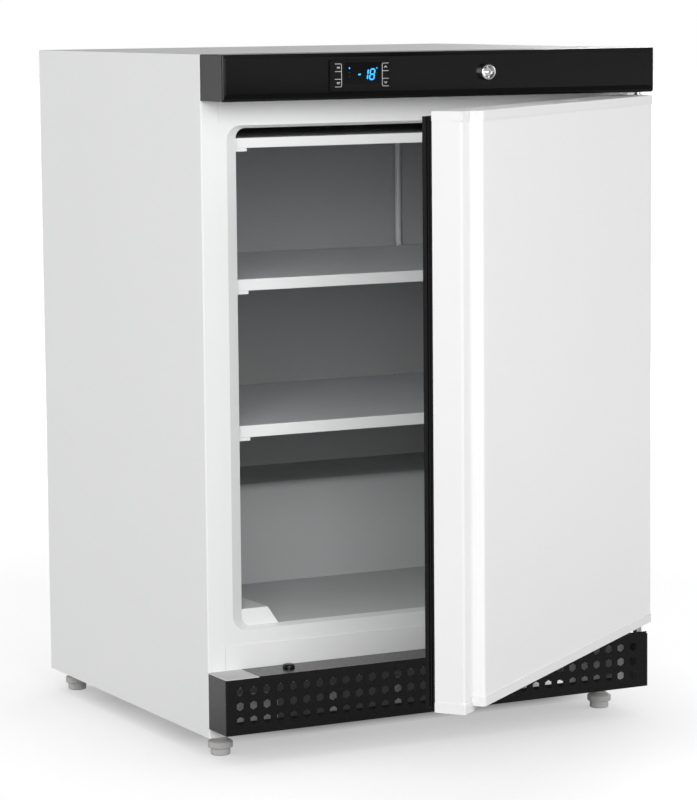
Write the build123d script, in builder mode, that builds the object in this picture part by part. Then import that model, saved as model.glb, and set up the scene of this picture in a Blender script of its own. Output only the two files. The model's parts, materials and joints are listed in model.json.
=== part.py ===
from build123d import *
import os

# An upright storage freezer with a solid door, drawn with the door partly open. Millimetres.
# X runs to the right, Y to the back and Z up. The origin is on the floor, midway between the
# four feet, which is also the middle of the casing seen from above.

os.makedirs("parts", exist_ok=True)

# Overall sizes
width = 600.0
height = 855.0
casing_depth = 500.0
leg_height = 27.0
door_open_angle = 37.5

# Planes that most pieces share
half_width = width / 2
front = -casing_depth / 2
back = casing_depth / 2

# Folded steel of the casing
sheet = 1.0
fold_radius = 2.0
stile_width = 23.0
rear_flange = 15.0
seam = 0.3
top_edge_radius = 0.8
top_rear_flange = 20.0
rail_return = 15.0

# Walls and the room inside
side_wall = 50.0
top_wall = 89.0
rear_wall = 70.0
cavity_floor = 160.0
cavity_corner = 12.0
liner_wall = 2.0
liner_setback = sheet + 0.2
lip_width = 15.5
lip_rise = 3.5
lip_depth = 7.5
lip_corner = 18.0
flange_overlap = 6.0
top_reveal = 8.0
bottom_reveal = 22.0
cavity_half = half_width - side_wall
cavity_ceiling = height - top_wall
cavity_back = back - rear_wall
liner_front = front + liner_setback
mouth_back = liner_front + lip_depth
top_rail_low = cavity_ceiling + top_reveal
bottom_rail_high = cavity_floor - bottom_reveal
bottom_rail_low = 85.0

# Hump in the cavity and the machine room under it
hump_depth = 160.0
hump_height = 130.0
hump_radius = 12.0
room_depth = 175.0
room_ceiling = 228.0
underside = 107.0
hump_front = cavity_back - hump_depth
hump_top = cavity_floor + hump_height
room_front = back - room_depth

# Ledges along the cavity floor
ledge_height = 21.0
ledge_top_width = 35.5
ledge_base_width = 49.5
ledge_root = 1.0

# Shelves, which are also the evaporator
shelf_levels = (753.5, 583.0, 404.5)
trim_heights = (12.0, 14.0, 14.5)
plate_thickness = 1.2
trim_wall = 1.5
trim_side_gap = 1.5
plate_side_gap = 1.0
trim_reach = 10.0
trim_return = 8.0
rib_depth = 13.0
rib_height = 7.0
rib_end_gap = 4.0
clip_size = (18.5, 6.0, 4.0)
clip_corner = 2.0
trim_edge = 0.7
shelf_setback = 16.8
shelf_front = liner_front + shelf_setback
plate_back = cavity_back - 19.0

# Evaporator tube
coil_radius = 4.0
coil_pitch = 56.0
coil_runs = 8
coil_gap = 0.2
coil_margin = 40.0
coil_end_inset = 8.0
pipe_outside = 1.0
pipe_clearance = 0.2
riser_clearance = 1.0
riser_bend = 12.0

# Thermostat probe
probe_y = cavity_back - 60.0
probe_z = 643.0
probe_radius = 3.2
probe_length = 36.0
probe_clip = 16.0
probe_standoff = 6.0

# Base frame and feet
frame_sheet = 1.5
rail_flange = 50.0
crossmember_height = 13.5
crossmember_flange = 14.5
frame_setback = 2.0
bracket_height = 46.0
bracket_inner = 205.0
bracket_outer = 262.0
bracket_depth = 46.0
post_places = (35.0, 125.0)
post_width = 14.0
tab_width = 30.0
tab_reach = 32.0
tab_drop = 20.0
tab_sheet = 2.0
foot_inset_x = 27.0
foot_inset_y = 26.0
sole_radius = 12.1
sole_height = 9.0
pad_radius = 15.3
pad_height = 7.5
dome_height = 3.0
nut_radius = 8.5
stud_radius = 5.0
stud_length = 24.0
stud_clearance = 0.1
sole_edge = 1.8
pad_edge = 1.2
dome_edge = 1.6

# Plinth with its grille
plinth_reach = 50.0
plinth_bottom = 39.0
plinth_top = 108.5
plinth_sheet = 1.2
plinth_corner = 3.0
notch_width = 45.0
notch_gap = 0.8
vent_radius = 5.6
vent_pitch = 18.0
vent_columns = 32
vent_rows = 3
vent_height = 74.0
vent_middle = -2.5
plinth_lip = 12.0
plinth_screw_x = 201.0
plinth_screw_ahead = 20.0
screw_head_radius = 7.5
screw_head_height = 5.0
screw_crown = 3.0
plinth_screw_length = 8.0
screw_shank_radius = 2.5

# Control fascia
fascia_height = 55.0
housing_reach = 50.0
fascia_reach = 60.0
fascia_wall = 2.5
fascia_face = 3.0
fascia_drop = 0.5
fascia_side_border = 1.5
fascia_top_border = 1.4
fascia_low_border = 3.3
field_side_slope = 4.0
field_top_slope = 3.7
field_low_slope = 5.6
fascia_inset = 0.8
fascia_corner = 2.5
fascia_edge = 1.0
fascia_low_edge = 3.0
housing_edge = 1.5
fascia_low = height - fascia_height
field_ahead = fascia_reach - fascia_inset

# Temperature controller
controller_x = -117.2
controller_drop = 27.2
bezel_size = (81.6, 37.6)
bezel_proud = 3.0
bezel_corner = 3.0
bezel_border = 2.0
face_recess = 0.8
controller_cutout = (71.0, 29.0)
controller_play = 0.5
controller_depth = 48.0
window_size = (48.9, 26.0)
window_right = 3.6
window_rise = 2.6
window_thickness = 1.0
key_size = (7.6, 7.6)
key_play = 0.25
key_thickness = 1.6
key_proud = 0.4
key_travel = 0.5
key_left = 29.7
key_right = 34.2
key_rise = 9.7
key_fall = 8.8
controller_z = height - controller_drop
bezel_middle = (controller_x, controller_z)
window_middle = (controller_x + window_right, controller_z + window_rise)
key_left_x = controller_x - key_left
key_right_x = controller_x + key_right
key_high_z = controller_z + key_rise
key_low_z = controller_z - key_fall

# Cam lock
lock_x = 57.5
lock_drop = 26.3
lock_z = height - lock_drop
lock_ring_radius = 9.75
lock_ring_proud = 7.3
lock_body_radius = 8.0
lock_body_end = 38.6
lock_plug_radius = 5.5
lock_plug_sunk = 2.6
lock_mouth_taper = 2.1
lock_nut_radius = 12.0
lock_nut_thickness = 3.0
running_clearance = 0.05
hole_clearance = 0.2
cam_length = 42.0
cam_half_width = 6.0
cam_thickness = 2.0
cam_square = 6.0
cam_ahead = 36.0
cam_swing_room = 38.0
cam_slot_clearance = 3.0
cam_slot_depth = 10.5
keyway = (1.4, 6.5, 8.0)

# Door
gasket_gap = 0.3
gasket_thickness = 11.7
gasket_width = 20.0
gasket_inset = 0.3
gasket_top_inset = 6.0
gasket_low_inset = 2.0
gasket_hinge_inset = 9.0
gasket_head = 5.2
gasket_rib_near = 6.4
gasket_rib_far = 8.0
gasket_base = 9.2
gasket_neck_inset = 3.0
gasket_neck_width = 10.0
gasket_rib_inset = 0.8
gasket_rib_width = 16.4
block_thickness = 36.5
slab_thickness = 14.5
groove_radius = 6.0
grip_step = 22.0
door_gap = 4.5
slab_bottom = 126.0
strip_drop = 4.5
boss_drop = 6.5
boss_width = 26.0
boss_proud = 1.0
boss_corner = 1.5
top_cap_height = 11.0
cap_proud = 1.0
slab_trim_height = 11.0
block_trim_height = 5.0
profile_wall = 2.0
profile_wrap = 15.0
profile_tuck = 8.0
block_corner = 3.5
slab_corner = 4.5
raised_panel = 8.0
raised_corner = 20.0
raised_edge = 5.0
cap_edge = 1.0
raised_margin = 12.0
door_top = fascia_low - door_gap
block_rear = gasket_gap + gasket_thickness
block_face = block_rear + block_thickness
slab_face = block_face + slab_thickness
slab_half = half_width - grip_step
profile_top = door_top - top_cap_height
slab_profile_low = slab_bottom + slab_trim_height
block_profile_low = slab_bottom + block_trim_height

# Hinges
hinge_inset = 10.5
hinge_ahead = 40.0
pin_radius = 3.25
bush_wall = 1.5
bush_length = 28.0
bush_flange_radius = 6.5
bush_flange = 1.2
bush_end = 1.0
collar_radius = 5.5
collar_gap = 0.2
arm_thickness = 2.5
arm_gap = 0.5
arm_end_radius = 4.5
arm_shoulder = 14.0
pin_end_gap = 2.0
leg_thickness = 3.0
hinge_leg_width = 40.0
hinge_leg_inset = 44.0
notch_clearance = 1.0
hinge_leg_height = 38.0
lower_plate = 3.0
lower_leg_height = 19.0
lower_leg_gap = 3.0
lower_corner = 6.0
lower_edge = 1.0
rivet_height = 2.0
hinge_screw_radius = 4.0
hinge_screw_head = 2.6
hinge_screw_length = 8.0
lower_screw_length = 6.0
upper_screw_inset = 34.0
upper_screw_rises = (12.0, 27.0)
lower_screw_insets = (39.0, 28.0)
lower_screw_drop = 12.0
hinge_x = half_width - hinge_inset
hinge_y = front - hinge_ahead
bush_radius = pin_radius + running_clearance + bush_wall

# Condenser on the back
condenser_standoff = 18.0
condenser_tube_radius = 2.5
condenser_half_width = 215.0
condenser_pitch = 50.0
condenser_runs = 11
condenser_top = 790.0
wire_radius = 0.8
wire_pitch = 22.0
wire_count = 22
wire_overhang = 15.0
spacer_depth = 25.0
spacer_x = 154.0
spacer_width = 12.0
spacer_height = 16.0

# Compressor
compressor_x = 95.0
compressor_y = back - 90.0
compressor_radius = 68.0
compressor_height = 150.0
compressor_seam = 5.0
seam_thickness = 5.0
seam_share = 0.42
dome_top_radius = 45.0
dome_low_radius = 22.0
pedestal_radius = 44.0
pedestal_height = 22.0
mount_height = 13.0
mount_radius = 11.0
mount_bolt_radius = 3.8
mount_cap = 3.0
mount_cap_radius = 7.5
mount_margin = 14.0
mount_spread = (170.0, 110.0)
foot_plate = 3.0
base_plate = 2.0
line_radius = 3.0
capillary_radius = 1.5
relay_reach = 42.0
relay_seat = 6.0
relay_width = 52.0
relay_height = 66.0
relay_rise = 12.0
relay_corner = 5.0
drier_x = -150.0
drier_y = back - 60.0
drier_low = 90.0
drier_length = 85.0
drier_radius = 10.0
drier_taper = 6.0
pipe_bend = 6.0
capillary_bend = 3.0
discharge_rise = 90.0
suction_rise = 70.0
crossing_inset = 8.0
drier_feed_inset = 12.0
drier_feed_z = 62.0
left_riser_inset = 45.0
right_drop_reach = 25.0
capillary_rise = 20.0
capillary_jog = 40.0
capillary_standoff = 6.0
suction_standoff = 9.0

# Supply inlet in the machine room
inlet_x = -225.0
inlet_size = (52.0, 54.0, 44.0)
inlet_setback = 6.0
inlet_corner = 4.0
socket_half_width = 13.0
socket_low = 12.0
socket_high = 30.0
socket_depth = 24.0
socket_pins = ((-7.0, 19.0), (7.0, 19.0), (0.0, 24.0))
socket_pin_length = 12.0
socket_pin_size = (2.0, 4.0)


def ahead(distance):
    """The Y of a plane that lies this far in front of the casing"""
    return front - distance


def block(near, far, mode=Mode.ADD):
    """A box between two corners, in the piece being made"""
    middle = [(a + b) / 2 for a, b in zip(near, far)]
    sizes = [abs(b - a) for a, b in zip(near, far)]
    with Locations(tuple(middle)):
        Box(*sizes, mode=mode)


def rod(start, end, radius, mode=Mode.ADD):
    """A round bar between two points, in the piece being made"""
    run = Vector(*end) - Vector(*start)
    with BuildSketch(Plane(origin=start, z_dir=run)) as section:
        Circle(radius)
    extrude(section.sketch, amount=run.length, mode=mode)


def pipe(points, bend_radius, radius):
    """A bent tube along straight runs joined by arcs, in the piece being made"""
    with BuildLine() as route:
        FilletPolyline(*points, radius=bend_radius)
    with BuildSketch(Plane(origin=route.line @ 0, z_dir=route.line % 0)) as section:
        Circle(radius)
    sweep(section.sketch, path=route.line)


def upright_edges(piece, x, y, reach=0.05):
    """The upright edges of a piece at one place in plan"""
    edges = piece.edges().filter_by(Axis.Z)
    edges = edges.filter_by_position(Axis.X, x - reach, x + reach)
    return edges.filter_by_position(Axis.Y, y - reach, y + reach)


def finish(piece, name):
    """Labels a piece and writes it"""
    piece.label = name
    export_step(piece, f"parts/{name}.step")
    return piece


def on_the_door(piece, name):
    """Swings a piece drawn on the shut door to where the open door holds it, and writes it"""
    hinge_line = Axis((hinge_x, hinge_y, 0), (0, 0, 1))
    return finish(piece.rotate(hinge_line, door_open_angle), name)


# Casing

def side_panel(side):
    """Outer skin with a stile folded along its front and a flange along its back"""
    skin = side * half_width
    with BuildPart() as panel:
        block((skin, front, leg_height), (skin - side * sheet, back, height - sheet))
        block((skin, front, leg_height), (skin - side * stile_width, front + sheet, height - sheet))
        block((skin, back - sheet, leg_height), (skin - side * rear_flange, back, height - sheet))
        fillet(upright_edges(panel, skin, front), fold_radius)
        fillet(upright_edges(panel, skin, back), fold_radius)
    return panel.part


for side, name in ((-1, "left_side_panel"), (1, "right_side_panel")):
    finish(side_panel(side), name)

with BuildPart() as top_panel:
    block((-half_width, front, height - sheet), (half_width, back, height))
    fillet(top_panel.edges().filter_by(Axis.Z), fold_radius)
    fillet(top_panel.faces().sort_by(Axis.Z)[-1].edges(), top_edge_radius)
    block((-half_width + rear_flange + seam, back - sheet, height - top_rear_flange),
          (half_width - rear_flange - seam, back, height - sheet))
finish(top_panel.part, "top_panel")

rail_half = half_width - stile_width - seam
upper_screws = [(half_width - upper_screw_inset, fascia_low + rise) for rise in upper_screw_rises]
lower_screws = [(half_width - inset, plinth_top - lower_screw_drop) for inset in lower_screw_insets]


def drill(places, near, far):
    """Clearance holes along Y for the hinge screws, at places given as X and Z"""
    for x, z in places:
        rod((x, near, z), (x, far, z), screw_shank_radius + stud_clearance, mode=Mode.SUBTRACT)


with BuildPart() as top_rail:
    block((-rail_half, front, top_rail_low), (rail_half, front + sheet, height - sheet))
    block((-rail_half, front + sheet, height - 2 * sheet),
          (rail_half, front + rail_return, height - sheet))
    drill(upper_screws, front - sheet, front + 2 * sheet)
finish(top_rail.part, "top_rail")

with BuildPart() as bottom_rail:
    block((-rail_half, front, bottom_rail_low), (rail_half, front + sheet, bottom_rail_high))
    block((-rail_half, front + sheet, bottom_rail_low),
          (rail_half, front + rail_return, bottom_rail_low + sheet))
    drill(lower_screws, front - sheet, front + 2 * sheet)
finish(bottom_rail.part, "bottom_rail")

coil_half = coil_pitch * (coil_runs - 1) / 2
coil_ends_y = plate_back - coil_end_inset
riser_y = plate_back + riser_clearance + riser_bend


def coil_level(level):
    """The height of the evaporator tube under a shelf"""
    return level - sheet - plate_thickness - coil_gap - coil_radius


inlet_z = coil_level(shelf_levels[0])
outlet_z = coil_level(shelf_levels[2])


def pipe_holes(near_y, far_y):
    """Holes for the two tubes that pass through the back wall"""
    for x, z in ((-coil_half, inlet_z), (coil_half, outlet_z)):
        rod((x, near_y, z), (x, far_y, z), coil_radius + pipe_clearance, mode=Mode.SUBTRACT)


with BuildPart() as back_panel:
    block((-half_width + sheet, back - 2 * sheet, room_ceiling),
          (half_width - sheet, back - sheet, height - sheet))
    pipe_holes(cavity_back, back + sheet)
finish(back_panel.part, "back_panel")

with BuildPart() as floor_panel:
    inner = half_width - sheet
    block((-inner, front + sheet, underside), (inner, room_front, underside + sheet))
    block((-inner, room_front - sheet, underside), (inner, room_front, room_ceiling + sheet))
    block((-inner, room_front - sheet, room_ceiling),
          (inner, back - 2 * sheet, room_ceiling + sheet))
finish(floor_panel.part, "floor_panel")


# Liner and insulation

def cavity_shape(grow):
    """The room inside the liner, grown by a wall, from the mouth to the back"""
    room_height = cavity_ceiling - cavity_floor
    with BuildPart() as room:
        with BuildSketch(Plane.XZ.offset(-liner_front)):
            with Locations((0, (cavity_ceiling + cavity_floor) / 2)):
                RectangleRounded(2 * (cavity_half + grow), room_height + 2 * grow,
                                 cavity_corner + grow)
        extrude(amount=-(cavity_back + grow - liner_front))
        block((-width, hump_front + grow, cavity_floor - hump_height),
              (width, back, hump_top - grow), mode=Mode.SUBTRACT)
        hump_edge = room.edges().filter_by(Axis.X)
        hump_edge = hump_edge.filter_by_position(Axis.Y, hump_front + grow - 0.1,
                                                 hump_front + grow + 0.1)
        hump_edge = hump_edge.filter_by_position(Axis.Z, hump_top - grow - 0.1,
                                                 hump_top - grow + 0.1)
        fillet(hump_edge, hump_radius - grow)
    return room.part


def mouth_outline(y, beside, above, corner):
    """The mouth of the cavity in one plane, widened at its sides and at its top and bottom"""
    with BuildSketch(Plane.XZ.offset(-y)) as outline:
        with Locations((0, (cavity_ceiling + cavity_floor) / 2)):
            RectangleRounded(2 * (cavity_half + beside), cavity_ceiling - cavity_floor + 2 * above,
                             corner)
    return outline.sketch


def lip_shape(grow):
    """The space inside the sloping lip round the mouth, grown by a wall"""
    start = liner_front + grow
    with BuildPart() as lip:
        loft([mouth_outline(start, lip_width + grow, lip_rise + grow, lip_corner + grow),
              mouth_outline(start + lip_depth, grow, grow, cavity_corner + grow)])
    return lip.part


flange_half = half_width - stile_width + flange_overlap
flange_low = bottom_rail_high - flange_overlap
flange_high = top_rail_low + flange_overlap


def liner_form():
    """The liner's outer shape before its inside is taken out"""
    with BuildPart() as form:
        block((-flange_half, liner_front, flange_low),
              (flange_half, liner_front + liner_wall, flange_high))
        add(lip_shape(liner_wall))
        add(cavity_shape(liner_wall))
    return form.part


def floor_ledges():
    """A ledge along each side of the floor, from the mouth to the hump, rooted in the liner"""
    with BuildPart() as ledges:
        with BuildSketch(Plane.XZ.offset(-mouth_back)):
            for side in (-1, 1):
                with BuildLine():
                    Polyline((side * (cavity_half + ledge_root), cavity_floor - ledge_root),
                             (side * (cavity_half - ledge_base_width), cavity_floor - ledge_root),
                             (side * (cavity_half - ledge_base_width), cavity_floor),
                             (side * (cavity_half - ledge_top_width), cavity_floor + ledge_height),
                             (side * (cavity_half + ledge_root), cavity_floor + ledge_height),
                             close=True)
                make_face()
        extrude(amount=-(hump_front + ledge_root - mouth_back))
        add(cavity_shape(ledge_root), mode=Mode.INTERSECT)
    return ledges.part


with BuildPart() as inner_liner:
    add(liner_form())
    add(lip_shape(0), mode=Mode.SUBTRACT)
    add(cavity_shape(0), mode=Mode.SUBTRACT)
    add(floor_ledges())
    # a rib carries each side of each shelf
    for level in shelf_levels:
        rib_top = level - sheet - plate_thickness
        for side in (-1, 1):
            rib_front = shelf_front + trim_reach + rib_end_gap
            block((side * (cavity_half + 1), rib_front, rib_top - rib_height),
                  (side * (cavity_half - rib_depth), plate_back - rib_end_gap, rib_top))
    pipe_holes(cavity_back - liner_wall, back)
finish(inner_liner.part, "inner_liner")

with BuildPart() as insulation_foam:
    block((-half_width + sheet, liner_front + liner_wall, underside + sheet),
          (half_width - sheet, back - 2 * sheet, height - sheet))
    block((-width, room_front - sheet, underside), (width, back, room_ceiling + sheet),
          mode=Mode.SUBTRACT)
    add(liner_form(), mode=Mode.SUBTRACT)
    add(top_rail.part, mode=Mode.SUBTRACT)
    drill(upper_screws, front, front + hinge_screw_length + sheet)
    pipe_holes(cavity_back - liner_wall, back)
finish(insulation_foam.part, "insulation_foam")


# Shelves and evaporator

with BuildPart() as shelf_plates:
    for level in shelf_levels:
        top = level - sheet
        block((-cavity_half + plate_side_gap, shelf_front + trim_wall, top - plate_thickness),
              (cavity_half - plate_side_gap, plate_back, top))
finish(shelf_plates.part, "shelf_plates")

trim_half = cavity_half - trim_side_gap
with BuildPart() as shelf_trims:
    for level, tall in zip(shelf_levels, trim_heights):
        low = level - tall
        block((-trim_half, shelf_front, low), (trim_half, shelf_front + trim_wall, level))
        block((-trim_half, shelf_front, level - sheet),
              (trim_half, shelf_front + trim_reach, level))
        block((-trim_half, shelf_front, low), (trim_half, shelf_front + trim_return, low + sheet))
    long_edges = shelf_trims.edges().filter_by(Axis.X)
    fillet(long_edges.filter_by_position(Axis.Y, shelf_front - 0.05, shelf_front + 0.05),
           trim_edge)
finish(shelf_trims.part, "shelf_trims")

with BuildPart() as shelf_clips:
    long, deep, tall = clip_size
    for level, trim_tall in zip(shelf_levels, trim_heights):
        low = level - trim_tall
        for side in (-1, 1):
            outer = side * trim_half
            block((outer, shelf_front, low - tall), (outer - side * long, shelf_front + deep, low))
            fillet(upright_edges(shelf_clips, outer - side * long, shelf_front), clip_corner)
finish(shelf_clips.part, "shelf_clips")


def coil_points(level):
    """Corner points of one shelf's tube: runs from back to front and back again"""
    z = coil_level(level)
    near = shelf_front + coil_margin
    points = []
    for run in range(coil_runs):
        x = -coil_half + run * coil_pitch
        start, end = (coil_ends_y, near) if run % 2 == 0 else (near, coil_ends_y)
        last = run == coil_runs - 1
        turn = coil_pitch / 2
        # turns at the back stay clear of the two ends, which point to the back wall
        if start == coil_ends_y and run > 0:
            start = coil_ends_y - turn
        if end == coil_ends_y and not last:
            end = coil_ends_y - turn
        points += [(x, start, z), (x, end, z)]
    return points


def serpentine(points, radius):
    """A tube of straight runs joined by half turns, in the piece being made"""
    with BuildLine() as route:
        for first, second in zip(points[0::2], points[1::2]):
            Line(first, second)
        for first, second in zip(points[1::2], points[2::2]):
            heading = Vector(*first) - Vector(*points[points.index(first) - 1])
            heading = heading.normalized()
            middle = (Vector(*first) + Vector(*second)) * 0.5
            span = (Vector(*second) - Vector(*first)).length
            ThreePointArc(first, middle + heading * (span / 2), second)
    with BuildSketch(Plane(origin=points[0], z_dir=Vector(*points[1]) - Vector(*points[0]))) as section:
        Circle(radius)
    sweep(section.sketch, path=route.line)


with BuildPart() as evaporator_coils:
    for level in shelf_levels:
        serpentine(coil_points(level), coil_radius)
finish(evaporator_coils.part, "evaporator_coils")

levels = [coil_level(level) for level in shelf_levels]
pipe_ends_y = back + pipe_outside
with BuildPart() as evaporator_pipes:
    pipe([(coil_half, coil_ends_y, levels[0]), (coil_half, riser_y, levels[0]),
          (coil_half, riser_y, levels[1]), (coil_half, coil_ends_y, levels[1])],
         riser_bend, coil_radius)
    pipe([(-coil_half, coil_ends_y, levels[1]), (-coil_half, riser_y, levels[1]),
          (-coil_half, riser_y, levels[2]), (-coil_half, coil_ends_y, levels[2])],
         riser_bend, coil_radius)
    rod((-coil_half, coil_ends_y, levels[0]), (-coil_half, pipe_ends_y, levels[0]), coil_radius)
    rod((coil_half, coil_ends_y, levels[2]), (coil_half, pipe_ends_y, levels[2]), coil_radius)
finish(evaporator_pipes.part, "evaporator_pipes")

# a clip on the right wall holds the thermostat's probe upright
probe_x = cavity_half - probe_standoff
with BuildPart() as temperature_probe:
    block((probe_x, probe_y - probe_clip / 2, probe_z - probe_clip / 2),
          (cavity_half, probe_y + probe_clip / 2, probe_z + probe_clip / 2))
    rod((probe_x, probe_y, probe_z - probe_length / 2), (probe_x, probe_y, probe_z + probe_length / 2),
        probe_radius)
finish(temperature_probe.part, "temperature_probe")


# Base frame and feet

foot_places = {
    "foot_front_left": (-half_width + foot_inset_x, front + foot_inset_y),
    "foot_front_right": (half_width - foot_inset_x, front + foot_inset_y),
    "foot_rear_left": (-half_width + foot_inset_x, back - foot_inset_y),
    "foot_rear_right": (half_width - foot_inset_x, back - foot_inset_y),
}


def stud_holes(low, high):
    """Clearance holes for the studs of the feet"""
    for x, y in foot_places.values():
        rod((x, y, low), (x, y, high), stud_radius + stud_clearance, mode=Mode.SUBTRACT)


frame_top = leg_height + frame_sheet
frame_front = front + frame_setback
with BuildPart() as base_rails:
    for side in (-1, 1):
        skin = side * (half_width - sheet)
        block((skin, frame_front, leg_height),
              (skin - side * rail_flange, back - frame_setback, frame_top))
        block((skin, frame_front, leg_height),
              (skin - side * frame_sheet, back - frame_setback, underside))
    stud_holes(leg_height, frame_top)
finish(base_rails.part, "base_rails")

frame_inner = half_width - sheet - frame_sheet - seam
with BuildPart() as front_crossmember:
    block((-frame_inner, frame_front, frame_top),
          (frame_inner, frame_front + frame_sheet, frame_top + crossmember_height))
    block((-frame_inner, frame_front, frame_top),
          (frame_inner, frame_front + frame_sheet + crossmember_flange, frame_top + frame_sheet))
finish(front_crossmember.part, "front_crossmember")

# zinc brackets on the crossmember: one behind each end of the grille and two slim posts, and
# under the plinth's top a pair of tabs that takes its screws
bracket_y = frame_front + frame_sheet
bracket_z = frame_top + frame_sheet
tab_top = plinth_top - plinth_sheet
plinth_screw_y = ahead(plinth_screw_ahead)


def plinth_screw_hole(x, low, high):
    """A clearance hole for one screw of the plinth"""
    rod((x, plinth_screw_y, low), (x, plinth_screw_y, high), screw_shank_radius + stud_clearance,
        mode=Mode.SUBTRACT)


with BuildPart() as base_brackets:
    for side in (-1, 1):
        block((side * bracket_inner, bracket_y, bracket_z),
              (side * bracket_outer, bracket_y + frame_sheet, bracket_z + bracket_height))
        block((side * bracket_inner, bracket_y, bracket_z),
              (side * frame_inner, bracket_y + bracket_depth, bracket_z + frame_sheet))
        tab_left = side * plinth_screw_x - tab_width / 2
        tab_right = tab_left + tab_width
        block((tab_left, ahead(tab_reach), tab_top - tab_sheet), (tab_right, front, tab_top))
        block((tab_left, ahead(tab_sheet), plinth_top - tab_drop), (tab_right, front, tab_top))
        plinth_screw_hole(side * plinth_screw_x, tab_top - tab_sheet, tab_top)
        for place in post_places:
            post_left = side * place - post_width / 2
            block((post_left, bracket_y, bracket_z),
                  (post_left + post_width, bracket_y + frame_sheet, bracket_z + bracket_height))
    stud_holes(frame_top, bracket_z + frame_sheet)
finish(base_brackets.part, "base_brackets")

plate_top = frame_top + base_plate
with BuildPart() as compressor_plate:
    block((-frame_inner, room_front + frame_setback, frame_top),
          (frame_inner, back - 2 * frame_setback, plate_top))
    stud_holes(frame_top, plate_top)
finish(compressor_plate.part, "compressor_plate")


def levelling_foot(place):
    """A moulded foot: sole, wider pad with a domed top, nut and threaded stud"""
    x, y = place
    pad_low = sole_height
    pad_high = pad_low + pad_height
    dome_top = pad_high + dome_height
    with BuildPart() as foot:
        with BuildSketch(Plane.XZ):
            with BuildLine():
                Polyline((0, 0), (sole_radius, 0), (sole_radius, pad_low),
                         (pad_radius, pad_low), (pad_radius, pad_high))
                shoulder = Line((pad_radius, pad_high), (nut_radius + 1, dome_top))
                Polyline(shoulder @ 1, (nut_radius, dome_top), (nut_radius, leg_height),
                         (stud_radius, leg_height), (stud_radius, leg_height + stud_length),
                         (0, leg_height + stud_length), (0, 0))
            make_face()
        revolve(axis=Axis.Z)
        rims = foot.edges().filter_by(GeomType.CIRCLE)
        fillet(rims.filter_by_position(Axis.Z, -0.05, 0.05), sole_edge)
        fillet(rims.filter_by_position(Axis.Z, pad_high - 0.05, pad_high + 0.05), dome_edge)
        pad_rims = rims.filter_by_position(Axis.Z, pad_low - 0.05, pad_low + 0.05)
        fillet(pad_rims.sort_by(SortBy.RADIUS)[-1], pad_edge)
    return foot.part.translate((x, y, 0))


for name, place in foot_places.items():
    finish(levelling_foot(place), name)


# Plinth

notch_x = half_width - notch_width
plinth_step = plinth_top - plinth_sheet
with BuildPart() as plinth_grille:
    block((-half_width, ahead(plinth_reach), plinth_bottom), (half_width, front, plinth_top))
    for side in (-1, 1):
        fillet(upright_edges(plinth_grille, side * half_width, ahead(plinth_reach)),
               plinth_corner)
    block((-half_width + plinth_sheet, ahead(plinth_reach - plinth_sheet), plinth_bottom - 1),
          (half_width - plinth_sheet, front + 1, plinth_step), mode=Mode.SUBTRACT)
    block((-half_width + plinth_sheet, ahead(plinth_reach - plinth_sheet), plinth_bottom),
          (half_width - plinth_sheet, ahead(plinth_reach - plinth_sheet - plinth_lip),
           plinth_bottom + plinth_sheet))
    for side in (-1, 1):
        block((side * notch_x, ahead(plinth_reach + 1), plinth_step),
              (side * (half_width + 1), front + 1, plinth_top + 1), mode=Mode.SUBTRACT)
        plinth_screw_hole(side * plinth_screw_x, plinth_step, plinth_top)
    with BuildSketch(Plane.XZ.offset(-ahead(plinth_reach))) as vents:
        with Locations((vent_middle, vent_height)):
            with GridLocations(vent_pitch, vent_pitch, vent_columns, vent_rows):
                RegularPolygon(vent_radius, 6, rotation=30)
    extrude(vents.sketch, amount=-plinth_sheet, mode=Mode.SUBTRACT)
finish(plinth_grille.part, "plinth_grille")

with BuildPart() as hinge_notch_cover:
    block((-half_width, ahead(plinth_reach), plinth_step),
          (-notch_x - notch_gap, front, plinth_top))
    fillet(upright_edges(hinge_notch_cover, -half_width, ahead(plinth_reach)), plinth_corner)
finish(hinge_notch_cover.part, "hinge_notch_cover")

with BuildPart() as plinth_screws:
    for side in (-1, 1):
        x, y = side * plinth_screw_x, plinth_screw_y
        rod((x, y, plinth_top - plinth_screw_length), (x, y, plinth_top), screw_shank_radius)
        rod((x, y, plinth_top), (x, y, plinth_top + screw_head_height), screw_head_radius)
    crowns = plinth_screws.edges().filter_by(GeomType.CIRCLE)
    head_top = plinth_top + screw_head_height
    fillet(crowns.filter_by_position(Axis.Z, head_top - 0.05, head_top + 0.05), screw_crown)
finish(plinth_screws.part, "plinth_screws")


# Control fascia

cam_slot_near = ahead(cam_ahead + cam_thickness + cam_slot_clearance)
cam_slot_far = ahead(cam_ahead - cam_slot_clearance)
cam_slot_left = cam_half_width + cam_slot_clearance
hinge_leg_left = half_width - hinge_leg_inset
hinge_leg_right = hinge_leg_left + hinge_leg_width
with BuildPart() as fascia_housing:
    block((-half_width, ahead(housing_reach), fascia_low), (half_width, front, height))
    block((-half_width + fascia_wall, ahead(housing_reach + 1), fascia_low + fascia_wall),
          (half_width - fascia_wall, front + 1, height - fascia_wall), mode=Mode.SUBTRACT)
    top_edges = fascia_housing.edges().filter_by(Axis.Y)
    top_edges = top_edges.filter_by_position(Axis.Z, height - 0.05, height + 0.05)
    fillet(top_edges, housing_edge)
    # slot for the lock's cam, and a notch for the upper hinge
    block((lock_x - cam_slot_left, cam_slot_near, fascia_low - 1),
          (lock_x + cam_length, cam_slot_far, fascia_low + fascia_wall), mode=Mode.SUBTRACT)
    block((hinge_leg_left - notch_clearance, ahead(leg_thickness + notch_clearance), fascia_low - 1),
          (half_width - fascia_wall, front + 1, fascia_low + fascia_wall), mode=Mode.SUBTRACT)
finish(fascia_housing.part, "fascia_housing")

face_low = fascia_low - fascia_drop


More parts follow.
